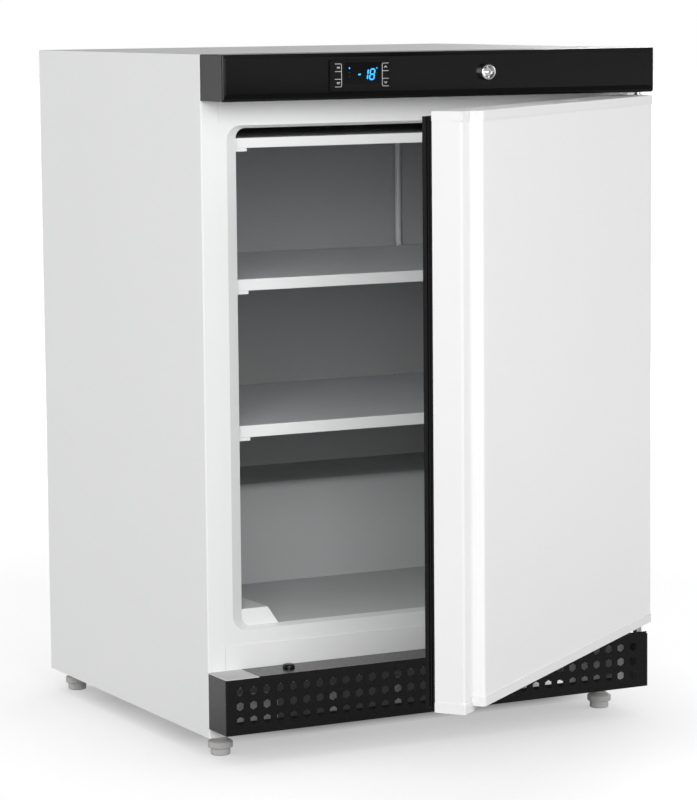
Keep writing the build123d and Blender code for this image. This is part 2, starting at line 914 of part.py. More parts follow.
def field_outline(depth, slope_share):
    """The rectangle round the fascia's sunk field, at a depth behind its face"""
    side = fascia_side_border + slope_share * field_side_slope
    high = height - fascia_top_border - slope_share * field_top_slope
    low = face_low + fascia_low_border + slope_share * field_low_slope
    with BuildSketch(Plane.XZ.offset(-ahead(fascia_reach - depth))) as outline:
        with Locations((0, (low + high) / 2)):
            Rectangle(width - 2 * side, high - low)
    return outline.sketch


with BuildPart() as fascia_front:
    block((-half_width, ahead(fascia_reach), face_low), (half_width, ahead(housing_reach), height))
    for side in (-1, 1):
        fillet(upright_edges(fascia_front, side * half_width, ahead(fascia_reach)), fascia_corner)
    rim = fascia_front.edges().filter_by_position(
        Axis.Y, ahead(fascia_reach) - 0.05, ahead(fascia_reach) + 0.05)
    low_rim, high_rim = rim.filter_by(Axis.X).sort_by(Axis.Z)
    fillet(high_rim, fascia_edge)
    fillet(low_rim, fascia_low_edge)
    block((-half_width + fascia_wall, ahead(fascia_reach - fascia_face), face_low + fascia_wall),
          (half_width - fascia_wall, ahead(housing_reach - 1), height - fascia_wall),
          mode=Mode.SUBTRACT)
    loft([field_outline(0, 0), field_outline(fascia_inset, 1)], mode=Mode.SUBTRACT)
    with BuildSketch(Plane.XZ.offset(-ahead(fascia_reach))) as cutouts:
        with Locations(bezel_middle):
            Rectangle(*controller_cutout)
        with Locations((lock_x, lock_z)):
            Circle(lock_body_radius + hole_clearance)
    extrude(cutouts.sketch, amount=-fascia_reach, mode=Mode.SUBTRACT)
finish(fascia_front.part, "fascia_front")


# Controller

bezel_front = field_ahead + bezel_proud
face_ahead = bezel_front - face_recess
window_ahead = face_ahead + 0.3
keys = {
    "key_defrost": (key_left_x, key_high_z),
    "key_set": (key_left_x, key_low_z),
    "key_up": (key_right_x, key_high_z),
    "key_down": (key_right_x, key_low_z),
}

with BuildPart() as controller_body:
    with BuildSketch(Plane.XZ.offset(-ahead(field_ahead))) as bezel:
        with Locations(bezel_middle):
            RectangleRounded(*bezel_size, bezel_corner)
    extrude(bezel.sketch, amount=bezel_proud)
    rim = controller_body.edges().filter_by_position(
        Axis.Y, ahead(bezel_front) - 0.05, ahead(bezel_front) + 0.05)
    fillet(rim, 0.6)
    with BuildSketch(Plane.XZ.offset(-ahead(bezel_front))) as face:
        with Locations(bezel_middle):
            RectangleRounded(bezel_size[0] - 2 * bezel_border, bezel_size[1] - 2 * bezel_border, 1.5)
    extrude(face.sketch, amount=-face_recess, mode=Mode.SUBTRACT)
    with BuildSketch(Plane.XZ.offset(-ahead(field_ahead))) as case:
        with Locations(bezel_middle):
            Rectangle(controller_cutout[0] - controller_play, controller_cutout[1] - controller_play)
    extrude(case.sketch, amount=-controller_depth)
    # pockets for the window and the keys
    with BuildSketch(Plane.XZ.offset(-ahead(face_ahead))) as window_pocket:
        with Locations(window_middle):
            Rectangle(window_size[0] + 0.1, window_size[1] + 0.1)
    extrude(window_pocket.sketch, amount=-(window_thickness - 0.3), mode=Mode.SUBTRACT)
    with BuildSketch(Plane.XZ.offset(-ahead(face_ahead))) as key_pockets:
        for place in keys.values():
            with Locations(place):
                Rectangle(key_size[0] + 2 * key_play, key_size[1] + 2 * key_play)
    extrude(key_pockets.sketch, amount=-(key_thickness - key_proud + key_travel + 0.1),
            mode=Mode.SUBTRACT)
finish(controller_body.part, "controller_body")

with BuildPart() as controller_window:
    with BuildSketch(Plane.XZ.offset(-ahead(window_ahead))) as pane:
        with Locations(window_middle):
            Rectangle(*window_size)
    extrude(pane.sketch, amount=-window_thickness)
finish(controller_window.part, "controller_window")


def control_key(place):
    """A small key cap whose front edges are rounded"""
    with BuildPart() as key:
        with BuildSketch(Plane.XZ.offset(-ahead(face_ahead + key_proud))) as cap:
            with Locations(place):
                RectangleRounded(*key_size, 1.2)
        extrude(cap.sketch, amount=-key_thickness)
        rim = key.faces().sort_by(Axis.Y)[0].edges()
        fillet(rim, 0.4)
    return key.part


for name, place in keys.items():
    finish(control_key(place), name)


# Lock

def lock_rod(near, far, radius, mode=Mode.ADD):
    """A round bar on the lock's axis between two distances ahead of the casing"""
    rod((lock_x, ahead(near), lock_z), (lock_x, ahead(far), lock_z), radius, mode)


ring_face = field_ahead + lock_ring_proud
plug_face = ring_face - lock_plug_sunk
with BuildPart() as lock_barrel:
    lock_rod(field_ahead, ring_face, lock_ring_radius)
    ring_edge = lock_barrel.faces().sort_by(Axis.Y)[0].edges()
    fillet(ring_edge, 1.2)
    lock_rod(lock_body_end, field_ahead, lock_body_radius)
    lock_rod(lock_body_end - 1, ring_face + 1, lock_plug_radius + running_clearance, Mode.SUBTRACT)
    # the ring's mouth tapers down to the sunk plug
    ring_rims = lock_barrel.faces().sort_by(Axis.Y)[0].edges()
    chamfer(ring_rims.sort_by(SortBy.RADIUS)[0], lock_mouth_taper)
finish(lock_barrel.part, "lock_barrel")

nut_ahead = fascia_reach - fascia_face
with BuildPart() as lock_nut:
    with BuildSketch(Plane.XZ.offset(-ahead(nut_ahead))) as hexagon:
        with Locations((lock_x, lock_z)):
            RegularPolygon(lock_nut_radius, 6)
            Circle(lock_body_radius + running_clearance, mode=Mode.SUBTRACT)
    extrude(hexagon.sketch, amount=-lock_nut_thickness)
finish(lock_nut.part, "lock_nut")

cam_front = cam_ahead + cam_thickness
with BuildPart() as lock_plug:
    lock_rod(cam_front, plug_face, lock_plug_radius)
    slot_wide, slot_tall, slot_deep = keyway
    block((lock_x - slot_tall / 2, ahead(plug_face), lock_z - slot_wide / 2),
          (lock_x + slot_tall / 2, ahead(plug_face - slot_deep), lock_z + slot_wide / 2),
          mode=Mode.SUBTRACT)
    block((lock_x - cam_square / 2, ahead(cam_front), lock_z - cam_square / 2),
          (lock_x + cam_square / 2, ahead(cam_ahead - 1), lock_z + cam_square / 2))
finish(lock_plug.part, "lock_plug")

with BuildPart() as lock_cam:
    with BuildSketch(Plane.XZ.offset(-ahead(cam_front))) as blade:
        with Locations((lock_x, lock_z)):
            Circle(cam_half_width + 2)
        with Locations((lock_x + (cam_length - cam_half_width) / 2, lock_z)):
            Rectangle(cam_length - cam_half_width, 2 * cam_half_width)
        with Locations((lock_x + cam_length - cam_half_width, lock_z)):
            Circle(cam_half_width)
        with Locations((lock_x, lock_z)):
            Rectangle(cam_square, cam_square, mode=Mode.SUBTRACT)
    extrude(blade.sketch, amount=-cam_thickness)
finish(lock_cam.part, "lock_cam")


# Hinges

arm_high = fascia_low - arm_gap
arm_low = arm_high - arm_thickness
with BuildPart() as upper_hinge_bracket:
    with BuildSketch(Plane.XY.offset(arm_low)) as arm:
        with BuildLine():
            Polyline((hinge_leg_left, front), (hinge_leg_right, front),
                     (hinge_leg_right, ahead(arm_shoulder)),
                     (hinge_x + arm_end_radius, hinge_y), (hinge_x - arm_end_radius, hinge_y),
                     (hinge_leg_left, ahead(arm_shoulder)), close=True)
        make_face()
        with Locations((hinge_x, hinge_y)):
            Circle(arm_end_radius)
    extrude(arm.sketch, amount=arm_thickness)
    block((hinge_leg_left, ahead(leg_thickness), arm_low),
          (hinge_leg_right, front, fascia_low + hinge_leg_height))
    rod((hinge_x, hinge_y, arm_low - 1), (hinge_x, hinge_y, arm_high + 1), pin_radius,
        mode=Mode.SUBTRACT)
    drill(upper_screws, ahead(leg_thickness + 1), front + 1)
finish(upper_hinge_bracket.part, "upper_hinge_bracket")

with BuildPart() as upper_hinge_pin:
    rod((hinge_x, hinge_y, door_top - bush_length + pin_end_gap), (hinge_x, hinge_y, arm_high), pin_radius)
    rod((hinge_x, hinge_y, door_top + collar_gap), (hinge_x, hinge_y, arm_low), collar_radius)
finish(upper_hinge_pin.part, "upper_hinge_pin")

plate_low = plinth_step
plate_high = plate_low + lower_plate
boss_low = slab_bottom - boss_drop
strip_low = slab_bottom - strip_drop
with BuildPart() as lower_hinge_bracket:
    block((notch_x + notch_gap, ahead(plinth_reach), plate_low), (half_width, front, plate_high))
    fillet(upright_edges(lower_hinge_bracket, half_width, ahead(plinth_reach)), lower_corner)
    top_rim = lower_hinge_bracket.faces().sort_by(Axis.Z)[-1].edges()
    fillet(top_rim, lower_edge)
    block((notch_x + notch_gap, ahead(leg_thickness), plate_low - lower_leg_height),
          (half_width - plinth_sheet - lower_leg_gap, front, plate_low))
    rod((hinge_x, hinge_y, plate_low - 1), (hinge_x, hinge_y, plate_high + 1), pin_radius,
        mode=Mode.SUBTRACT)
    drill(lower_screws, ahead(leg_thickness + 1), front + 1)
finish(lower_hinge_bracket.part, "lower_hinge_bracket")

with BuildPart() as lower_hinge_pin:
    rod((hinge_x, hinge_y, plate_low - rivet_height), (hinge_x, hinge_y, plate_low), collar_radius)
    rod((hinge_x, hinge_y, plate_low), (hinge_x, hinge_y, boss_low + bush_length - pin_end_gap), pin_radius)
    rod((hinge_x, hinge_y, plate_high), (hinge_x, hinge_y, boss_low - collar_gap), collar_radius)
finish(lower_hinge_pin.part, "lower_hinge_pin")

with BuildPart() as hinge_screws:
    for places, deep in ((upper_screws, hinge_screw_length), (lower_screws, lower_screw_length)):
        for x, z in places:
            rod((x, ahead(leg_thickness), z), (x, front + deep, z), screw_shank_radius)
            rod((x, ahead(leg_thickness), z), (x, ahead(leg_thickness + hinge_screw_head), z),
                hinge_screw_radius)
finish(hinge_screws.part, "hinge_screws")


# Door, drawn shut and then swung open

def door_outline():
    """The door's cap from above: a block and a narrower slab, proud of the door's front and sides"""
    block_front = ahead(block_face + cap_proud)
    slab_front = ahead(slab_face + cap_proud)
    with BuildSketch() as outline:
        with Locations((0, (ahead(block_rear) + block_front) / 2)):
            Rectangle(width + 2 * cap_proud, block_thickness + cap_proud)
        with Locations((0, (block_front + slab_front) / 2)):
            Rectangle(2 * (slab_half + cap_proud), slab_thickness)
        slab_corners = outline.vertices().group_by(Axis.Y)[0]
        step_corners = outline.vertices().group_by(Axis.Y)[1]
        outer_corners = step_corners.filter_by(lambda v: abs(v.X) > half_width - 0.05)
        groove_corners = step_corners.filter_by(lambda v: abs(v.X) < half_width - 0.05)
        fillet(slab_corners, slab_corner + cap_proud)
        fillet(outer_corners, block_corner + cap_proud)
        fillet(groove_corners, groove_radius - cap_proud)
    return outline.sketch


def bush_bore(low, high, radius):
    """A round hole on the hinge line"""
    rod((hinge_x, hinge_y, low), (hinge_x, hinge_y, high), radius, mode=Mode.SUBTRACT)


with BuildPart() as door_top_cap:
    extrude(Plane.XY.offset(profile_top) * door_outline(), amount=top_cap_height)
    top_rim = door_top_cap.faces().sort_by(Axis.Z)[-1].edges()
    fillet(top_rim, cap_edge)
    # keeper slot for the lock's cam
    block((lock_x - cam_slot_left, cam_slot_near, door_top - cam_slot_depth),
          (lock_x + cam_swing_room, cam_slot_far, door_top + 1), mode=Mode.SUBTRACT)
    bush_bore(profile_top - 1, door_top + 1, bush_radius)
    bush_bore(door_top - bush_flange, door_top + 1, bush_flange_radius)
on_the_door(door_top_cap.part, "door_top_cap")

with BuildPart() as door_bottom_cap:
    # trim under the slab, strip under the block, and a boss at each bottom corner
    with BuildSketch(Plane.XY.offset(slab_bottom)) as slab_trim:
        with Locations((0, (ahead(block_face) + ahead(slab_face + cap_proud)) / 2)):
            Rectangle(2 * (slab_half + cap_proud), slab_thickness + cap_proud)
        fillet(slab_trim.vertices().group_by(Axis.Y)[0], slab_corner + cap_proud)
    extrude(slab_trim.sketch, amount=slab_trim_height)
    block((-half_width, ahead(block_rear), strip_low),
          (half_width, ahead(block_face), block_profile_low))
    for side in (-1, 1):
        outer = side * (half_width + boss_proud)
        block((outer, ahead(block_rear), boss_low),
              (outer - side * boss_width, ahead(block_face + boss_proud), block_profile_low))
        fillet(upright_edges(door_bottom_cap, outer, ahead(block_face + boss_proud)), boss_corner)
    bush_bore(boss_low - 1, slab_profile_low + 1, bush_radius)
    bush_bore(boss_low - 1, boss_low + bush_flange, bush_flange_radius)
on_the_door(door_bottom_cap.part, "door_bottom_cap")

with BuildPart() as door_side_profiles:
    for side in (-1, 1):
        edge = side * half_width
        block((edge, ahead(block_rear), block_profile_low),
              (edge - side * profile_wall, ahead(block_face), profile_top))
        block((edge, ahead(block_rear), block_profile_low),
              (edge - side * profile_wrap, ahead(block_rear + profile_wall), profile_top))
        block((edge, ahead(block_face - profile_wall), block_profile_low),
              (edge - side * (grip_step + profile_tuck), ahead(block_face), profile_top))
        fillet(upright_edges(door_side_profiles, edge, ahead(block_face)), block_corner)
        inner_corner = upright_edges(door_side_profiles, edge - side * profile_wall,
                                     ahead(block_face - profile_wall))
        fillet(inner_corner, block_corner - profile_wall)
        # the groove beside the slab is rounded where the two meet
        with BuildSketch(Plane.XY.offset(slab_profile_low)) as groove:
            with Locations((side * (slab_half + groove_radius / 2),
                            ahead(block_face + groove_radius / 2))):
                Rectangle(groove_radius, groove_radius)
            with Locations((side * (slab_half + groove_radius), ahead(block_face + groove_radius))):
                Circle(groove_radius, mode=Mode.SUBTRACT)
        extrude(groove.sketch, amount=profile_top - slab_profile_low)
on_the_door(door_side_profiles.part, "door_side_profiles")

with BuildPart() as door_front_panel:
    block((-slab_half, ahead(block_face), slab_profile_low),
          (slab_half, ahead(slab_face), profile_top))
    for side in (-1, 1):
        fillet(upright_edges(door_front_panel, side * slab_half, ahead(slab_face)), slab_corner)
    inside = slab_half - sheet
    with BuildSketch(Plane.XY.offset(slab_profile_low)) as hollow:
        with Locations((0, (ahead(block_face) + ahead(slab_face - sheet)) / 2)):
            Rectangle(2 * inside, slab_thickness - sheet)
        fillet(hollow.vertices().group_by(Axis.Y)[0], slab_corner - sheet)
    extrude(hollow.sketch, amount=height, mode=Mode.SUBTRACT)
on_the_door(door_front_panel.part, "door_front_panel")

panel_half = half_width - profile_wrap
raised_left = -half_width + gasket_inset + gasket_width + raised_margin
raised_right = half_width - gasket_hinge_inset - gasket_width - raised_margin
raised_low = strip_low + gasket_low_inset + gasket_width + raised_margin
raised_high = door_top - gasket_top_inset - gasket_width - raised_margin
with BuildPart() as door_inner_panel:
    block((-panel_half, ahead(block_rear), block_profile_low),
          (panel_half, ahead(block_rear + profile_wall), profile_top))
    with BuildSketch(Plane.XZ.offset(-ahead(block_rear))) as raised:
        with Locations(((raised_left + raised_right) / 2, (raised_low + raised_high) / 2)):
            RectangleRounded(raised_right - raised_left, raised_high - raised_low, raised_corner)
    extrude(raised.sketch, amount=-raised_panel)
    inner_rim = door_inner_panel.faces().sort_by(Axis.Y)[-1].edges()
    fillet(inner_rim, raised_edge)
on_the_door(door_inner_panel.part, "door_inner_panel")

with BuildPart() as door_foam:
    core = half_width - profile_wall
    tuck = slab_half - profile_tuck
    block((-core, ahead(block_rear + profile_wall), block_profile_low),
          (core, ahead(block_face - profile_wall), profile_top))
    for side in (-1, 1):
        fillet(upright_edges(door_foam, side * core, ahead(block_face - profile_wall)),
               block_corner - profile_wall)
    block((-tuck, ahead(block_face - profile_wall), block_profile_low),
          (tuck, ahead(block_face), profile_top))
    with BuildSketch(Plane.XY.offset(slab_profile_low)) as slab_core:
        with Locations((0, (ahead(block_face) + ahead(slab_face - sheet)) / 2)):
            Rectangle(2 * (slab_half - sheet), slab_thickness - sheet)
        fillet(slab_core.vertices().group_by(Axis.Y)[0], slab_corner - sheet)
    extrude(slab_core.sketch, amount=profile_top - slab_profile_low)
    bush_bore(door_top - bush_length, door_top + 1, bush_radius)
    bush_bore(boss_low, boss_low + bush_length, bush_radius)
on_the_door(door_foam.part, "door_foam")


def gasket_ring(near, far, inset, wide):
    """One layer of the gasket: a frame inset from the door's rear edges"""
    left = -half_width + inset + gasket_inset
    right = half_width - inset - gasket_hinge_inset
    low = strip_low + inset + gasket_low_inset
    high = door_top - inset - gasket_top_inset
    with BuildPart() as ring:
        block((left, ahead(near), low), (right, ahead(far), high))
        block((left + wide, ahead(near), low + wide), (right - wide, ahead(far), high - wide),
              mode=Mode.SUBTRACT)
    return ring.part


# from the casing to the door: the magnetic head, a neck, a rib, a neck and the base
gasket_layers = [
    gasket_ring(gasket_gap, gasket_head, 0, gasket_width),
    gasket_ring(gasket_head, gasket_rib_near, gasket_neck_inset, gasket_neck_width),
    gasket_ring(gasket_rib_near, gasket_rib_far, gasket_rib_inset, gasket_rib_width),
    gasket_ring(gasket_rib_far, gasket_base, gasket_neck_inset, gasket_neck_width),
    gasket_ring(gasket_base, block_rear, gasket_rib_inset, gasket_rib_width),
]
with BuildPart() as door_gasket:
    for layer in gasket_layers:
        add(layer)
on_the_door(door_gasket.part, "door_gasket")

with BuildPart() as door_bushes:
    rod((hinge_x, hinge_y, door_top - bush_length), (hinge_x, hinge_y, door_top), bush_radius)
    rod((hinge_x, hinge_y, door_top - bush_flange), (hinge_x, hinge_y, door_top),
        bush_flange_radius)
    rod((hinge_x, hinge_y, boss_low), (hinge_x, hinge_y, boss_low + bush_length), bush_radius)
    rod((hinge_x, hinge_y, boss_low), (hinge_x, hinge_y, boss_low + bush_flange),
        bush_flange_radius)
    bush_bore(door_top - bush_length + bush_end, door_top + 1, pin_radius + running_clearance)
    bush_bore(boss_low - 1, boss_low + bush_length - bush_end, pin_radius + running_clearance)
on_the_door(door_bushes.part, "door_bushes")


# Condenser

condenser_y = back + condenser_standoff
condenser_low = condenser_top - condenser_pitch * (condenser_runs - 1)


def condenser_points():
    """Ends of the tube's level runs, from the top down"""
    points = []
    for run in range(condenser_runs):
        z = condenser_top - run * condenser_pitch
        sides = (-1, 1) if run % 2 == 0 else (1, -1)
        points += [(side * condenser_half_width, condenser_y, z) for side in sides]
    return points


with BuildPart() as condenser_tube:
    serpentine(condenser_points(), condenser_tube_radius)
finish(condenser_tube.part, "condenser_tube")

with BuildPart() as condenser_wires:
    wire_y = condenser_y + condenser_tube_radius + seam + wire_radius
    for number in range(wire_count):
        x = (number - (wire_count - 1) / 2) * wire_pitch
        rod((x, wire_y, condenser_low - wire_overhang), (x, wire_y, condenser_top + wire_overhang),
            wire_radius)
finish(condenser_wires.part, "condenser_wires")

with BuildPart() as condenser_brackets:
    for x in (-spacer_x, spacer_x):
        for z in (condenser_top, condenser_low):
            left = x - spacer_width / 2
            right = x + spacer_width / 2
            block((left, back, z - spacer_height / 2),
                  (right, back + spacer_depth, z + spacer_height / 2))
            rod((left, condenser_y, z), (right, condenser_y, z), condenser_tube_radius + seam,
                mode=Mode.SUBTRACT)
finish(condenser_brackets.part, "condenser_brackets")


# Compressor and its pipes

shell_low = plate_top + mount_height + foot_plate
shell_high = shell_low + compressor_height
shell_seam = shell_low + seam_share * compressor_height
mount_places = [(compressor_x + side * mount_spread[0] / 2, compressor_y + end * mount_spread[1] / 2)
                for side in (-1, 1) for end in (-1, 1)]

with BuildPart() as compressor:
    with Locations((compressor_x, compressor_y, (shell_low + shell_high) / 2)):
        Cylinder(compressor_radius, compressor_height)
    rims = compressor.edges().filter_by(GeomType.CIRCLE)
    fillet(rims.sort_by(Axis.Z)[-1], dome_top_radius)
    rims = compressor.edges().filter_by(GeomType.CIRCLE)
    fillet(rims.sort_by(Axis.Z)[0], dome_low_radius)
    with Locations((compressor_x, compressor_y, shell_seam)):
        Cylinder(compressor_radius + compressor_seam, seam_thickness)
    with BuildSketch(Plane.XY.offset(shell_low - foot_plate)) as feet:
        with Locations((compressor_x, compressor_y)):
            RectangleRounded(mount_spread[0] + 2 * mount_margin, mount_spread[1] + 2 * mount_margin,
                             mount_margin)
        with Locations(*mount_places):
            Circle(mount_bolt_radius + hole_clearance, mode=Mode.SUBTRACT)
    extrude(feet.sketch, amount=foot_plate)
    with Locations((compressor_x, compressor_y, shell_low + pedestal_height / 2)):
        Cylinder(pedestal_radius, pedestal_height)
finish(compressor.part, "compressor")

with BuildPart() as compressor_mounts:
    for x, y in mount_places:
        rod((x, y, plate_top), (x, y, plate_top + mount_height), mount_radius)
        rod((x, y, plate_top), (x, y, shell_low + mount_cap), mount_bolt_radius)
        rod((x, y, shell_low), (x, y, shell_low + mount_cap), mount_cap_radius)
finish(compressor_mounts.part, "compressor_mounts")

relay_x = compressor_x - compressor_radius
with BuildPart() as relay_cover:
    block((relay_x - relay_reach, compressor_y - relay_width / 2, shell_low + relay_rise),
          (relay_x + relay_seat, compressor_y + relay_width / 2, shell_low + relay_rise + relay_height))
    fillet(relay_cover.edges().filter_by(Axis.Y), relay_corner)
    add(compressor.part, mode=Mode.SUBTRACT)
finish(relay_cover.part, "relay_cover")

drier_high = drier_low + drier_length
with BuildPart() as filter_drier:
    rod((drier_x, drier_y, drier_low), (drier_x, drier_y, drier_high), drier_radius)
    chamfer(filter_drier.edges().filter_by(GeomType.CIRCLE), drier_taper)
finish(filter_drier.part, "filter_drier")

discharge_z = shell_low + discharge_rise
suction_z = shell_low + suction_rise
crossing_y = back - crossing_inset
drier_feed_y = back - drier_feed_inset
left_riser_x = -half_width + left_riser_inset
right_drop_x = condenser_half_width + right_drop_reach
capillary_y = back + capillary_standoff
suction_y = back + suction_standoff
with BuildPart() as refrigerant_pipes:
    # from the compressor to the left and up to the condenser's first run
    pipe([(compressor_x, compressor_y + compressor_radius, discharge_z),
          (compressor_x, crossing_y, discharge_z),
          (left_riser_x, crossing_y, discharge_z),
          (left_riser_x, condenser_y, discharge_z),
          (left_riser_x, condenser_y, condenser_top),
          (-condenser_half_width, condenser_y, condenser_top)], pipe_bend, condenser_tube_radius)
    # from the condenser's last run down to the drier
    pipe([(condenser_half_width, condenser_y, condenser_low),
          (right_drop_x, condenser_y, condenser_low),
          (right_drop_x, condenser_y, drier_feed_z),
          (right_drop_x, drier_feed_y, drier_feed_z),
          (drier_x, drier_feed_y, drier_feed_z),
          (drier_x, drier_y, drier_feed_z),
          (drier_x, drier_y, drier_low)], pipe_bend, condenser_tube_radius)
    # the thin line from the drier up the back to the evaporator
    turn_z = drier_high + capillary_rise
    pipe([(drier_x, drier_y, drier_high), (drier_x, drier_y, turn_z),
          (drier_x, capillary_y, turn_z), (drier_x, capillary_y, turn_z + capillary_jog),
          (-coil_half, capillary_y, turn_z + capillary_jog), (-coil_half, capillary_y, inlet_z),
          (-coil_half, pipe_ends_y, inlet_z)], capillary_bend, capillary_radius)
    # from the evaporator down to the compressor
    pipe([(coil_half, pipe_ends_y, outlet_z), (coil_half, suction_y, outlet_z),
          (coil_half, suction_y, suction_z), (coil_half, compressor_y, suction_z),
          (compressor_x + compressor_radius, compressor_y, suction_z)], pipe_bend, line_radius)
finish(refrigerant_pipes.part, "refrigerant_pipes")

inlet_wide, inlet_deep, inlet_tall = inlet_size
inlet_back = back - inlet_setback
socket_floor = inlet_back - socket_depth
with BuildPart() as power_inlet:
    block((inlet_x - inlet_wide / 2, inlet_back - inlet_deep, plate_top),
          (inlet_x + inlet_wide / 2, inlet_back, plate_top + inlet_tall))
    fillet(power_inlet.edges().filter_by(Axis.Y), inlet_corner)
    block((inlet_x - socket_half_width, socket_floor, plate_top + socket_low),
          (inlet_x + socket_half_width, inlet_back, plate_top + socket_high), mode=Mode.SUBTRACT)
    pin_wide, pin_tall = socket_pin_size
    for x, z in socket_pins:
        block((inlet_x + x - pin_wide / 2, socket_floor, plate_top + z - pin_tall / 2),
              (inlet_x + x + pin_wide / 2, socket_floor + socket_pin_length, plate_top + z + pin_tall / 2))
finish(power_inlet.part, "power_inlet")
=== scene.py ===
import json
import math

import bmesh
import bpy
from mathutils import Matrix, Vector


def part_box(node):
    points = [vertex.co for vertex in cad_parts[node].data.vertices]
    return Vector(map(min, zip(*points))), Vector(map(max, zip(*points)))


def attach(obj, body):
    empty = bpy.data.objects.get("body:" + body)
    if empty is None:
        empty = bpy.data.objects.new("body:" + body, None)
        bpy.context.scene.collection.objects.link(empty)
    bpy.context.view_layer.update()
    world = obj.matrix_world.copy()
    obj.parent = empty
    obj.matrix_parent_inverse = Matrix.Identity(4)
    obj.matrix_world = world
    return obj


# The looks of an upright storage freezer: camera, light, finishes, display and key marks.
# Everything is in metres, X to the right, Y to the back and Z up.

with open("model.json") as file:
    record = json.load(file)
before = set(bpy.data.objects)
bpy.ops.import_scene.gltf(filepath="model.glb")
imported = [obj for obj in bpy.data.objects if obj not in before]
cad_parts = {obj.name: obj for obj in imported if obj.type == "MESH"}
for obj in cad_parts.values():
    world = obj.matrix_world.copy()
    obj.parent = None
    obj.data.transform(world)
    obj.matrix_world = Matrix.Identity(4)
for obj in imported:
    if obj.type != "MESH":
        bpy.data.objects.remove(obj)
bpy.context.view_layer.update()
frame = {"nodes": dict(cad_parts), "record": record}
nodes = frame["nodes"]

MM = 0.001

# Camera, fitted to the photograph
PICTURE_LONG_SIDE = 800
FOCAL_PIXELS = 3318.74
SENSOR = 36.0
CAMERA_PLACE = Vector((-1.9793, -3.8368, 0.9221))
CAMERA_AZIMUTH = math.radians(27.59)
CAMERA_PITCH = math.radians(6.94)
CAMERA_ROLL = math.radians(-0.51)
CAMERA_SIGHT = 100


def add_camera():
    """The photograph's camera: level heading, then tilted down, then rolled."""
    heading = Vector((math.sin(CAMERA_AZIMUTH), math.cos(CAMERA_AZIMUTH), 0))
    level_right = Vector((math.cos(CAMERA_AZIMUTH), -math.sin(CAMERA_AZIMUTH), 0))
    ahead = heading * math.cos(CAMERA_PITCH) - Vector((0, 0, math.sin(CAMERA_PITCH)))
    level_up = level_right.cross(ahead)
    right = level_right * math.cos(CAMERA_ROLL) + level_up * math.sin(CAMERA_ROLL)
    up = level_up * math.cos(CAMERA_ROLL) - level_right * math.sin(CAMERA_ROLL)
    data = bpy.data.cameras.new("camera")
    data.sensor_width = SENSOR
    data.lens = FOCAL_PIXELS / PICTURE_LONG_SIDE * SENSOR
    data.clip_end = CAMERA_SIGHT
    camera = bpy.data.objects.new("camera", data)
    turn = Matrix((right, up, -ahead)).transposed()
    camera.matrix_world = Matrix.Translation(CAMERA_PLACE) @ turn.to_4x4()
    bpy.context.scene.collection.objects.link(camera)
    bpy.context.scene.camera = camera


# Small helpers for node trees

# Nearly all values of a noise lie between these two
NOISE_LOW = 0.3
NOISE_HIGH = 0.7


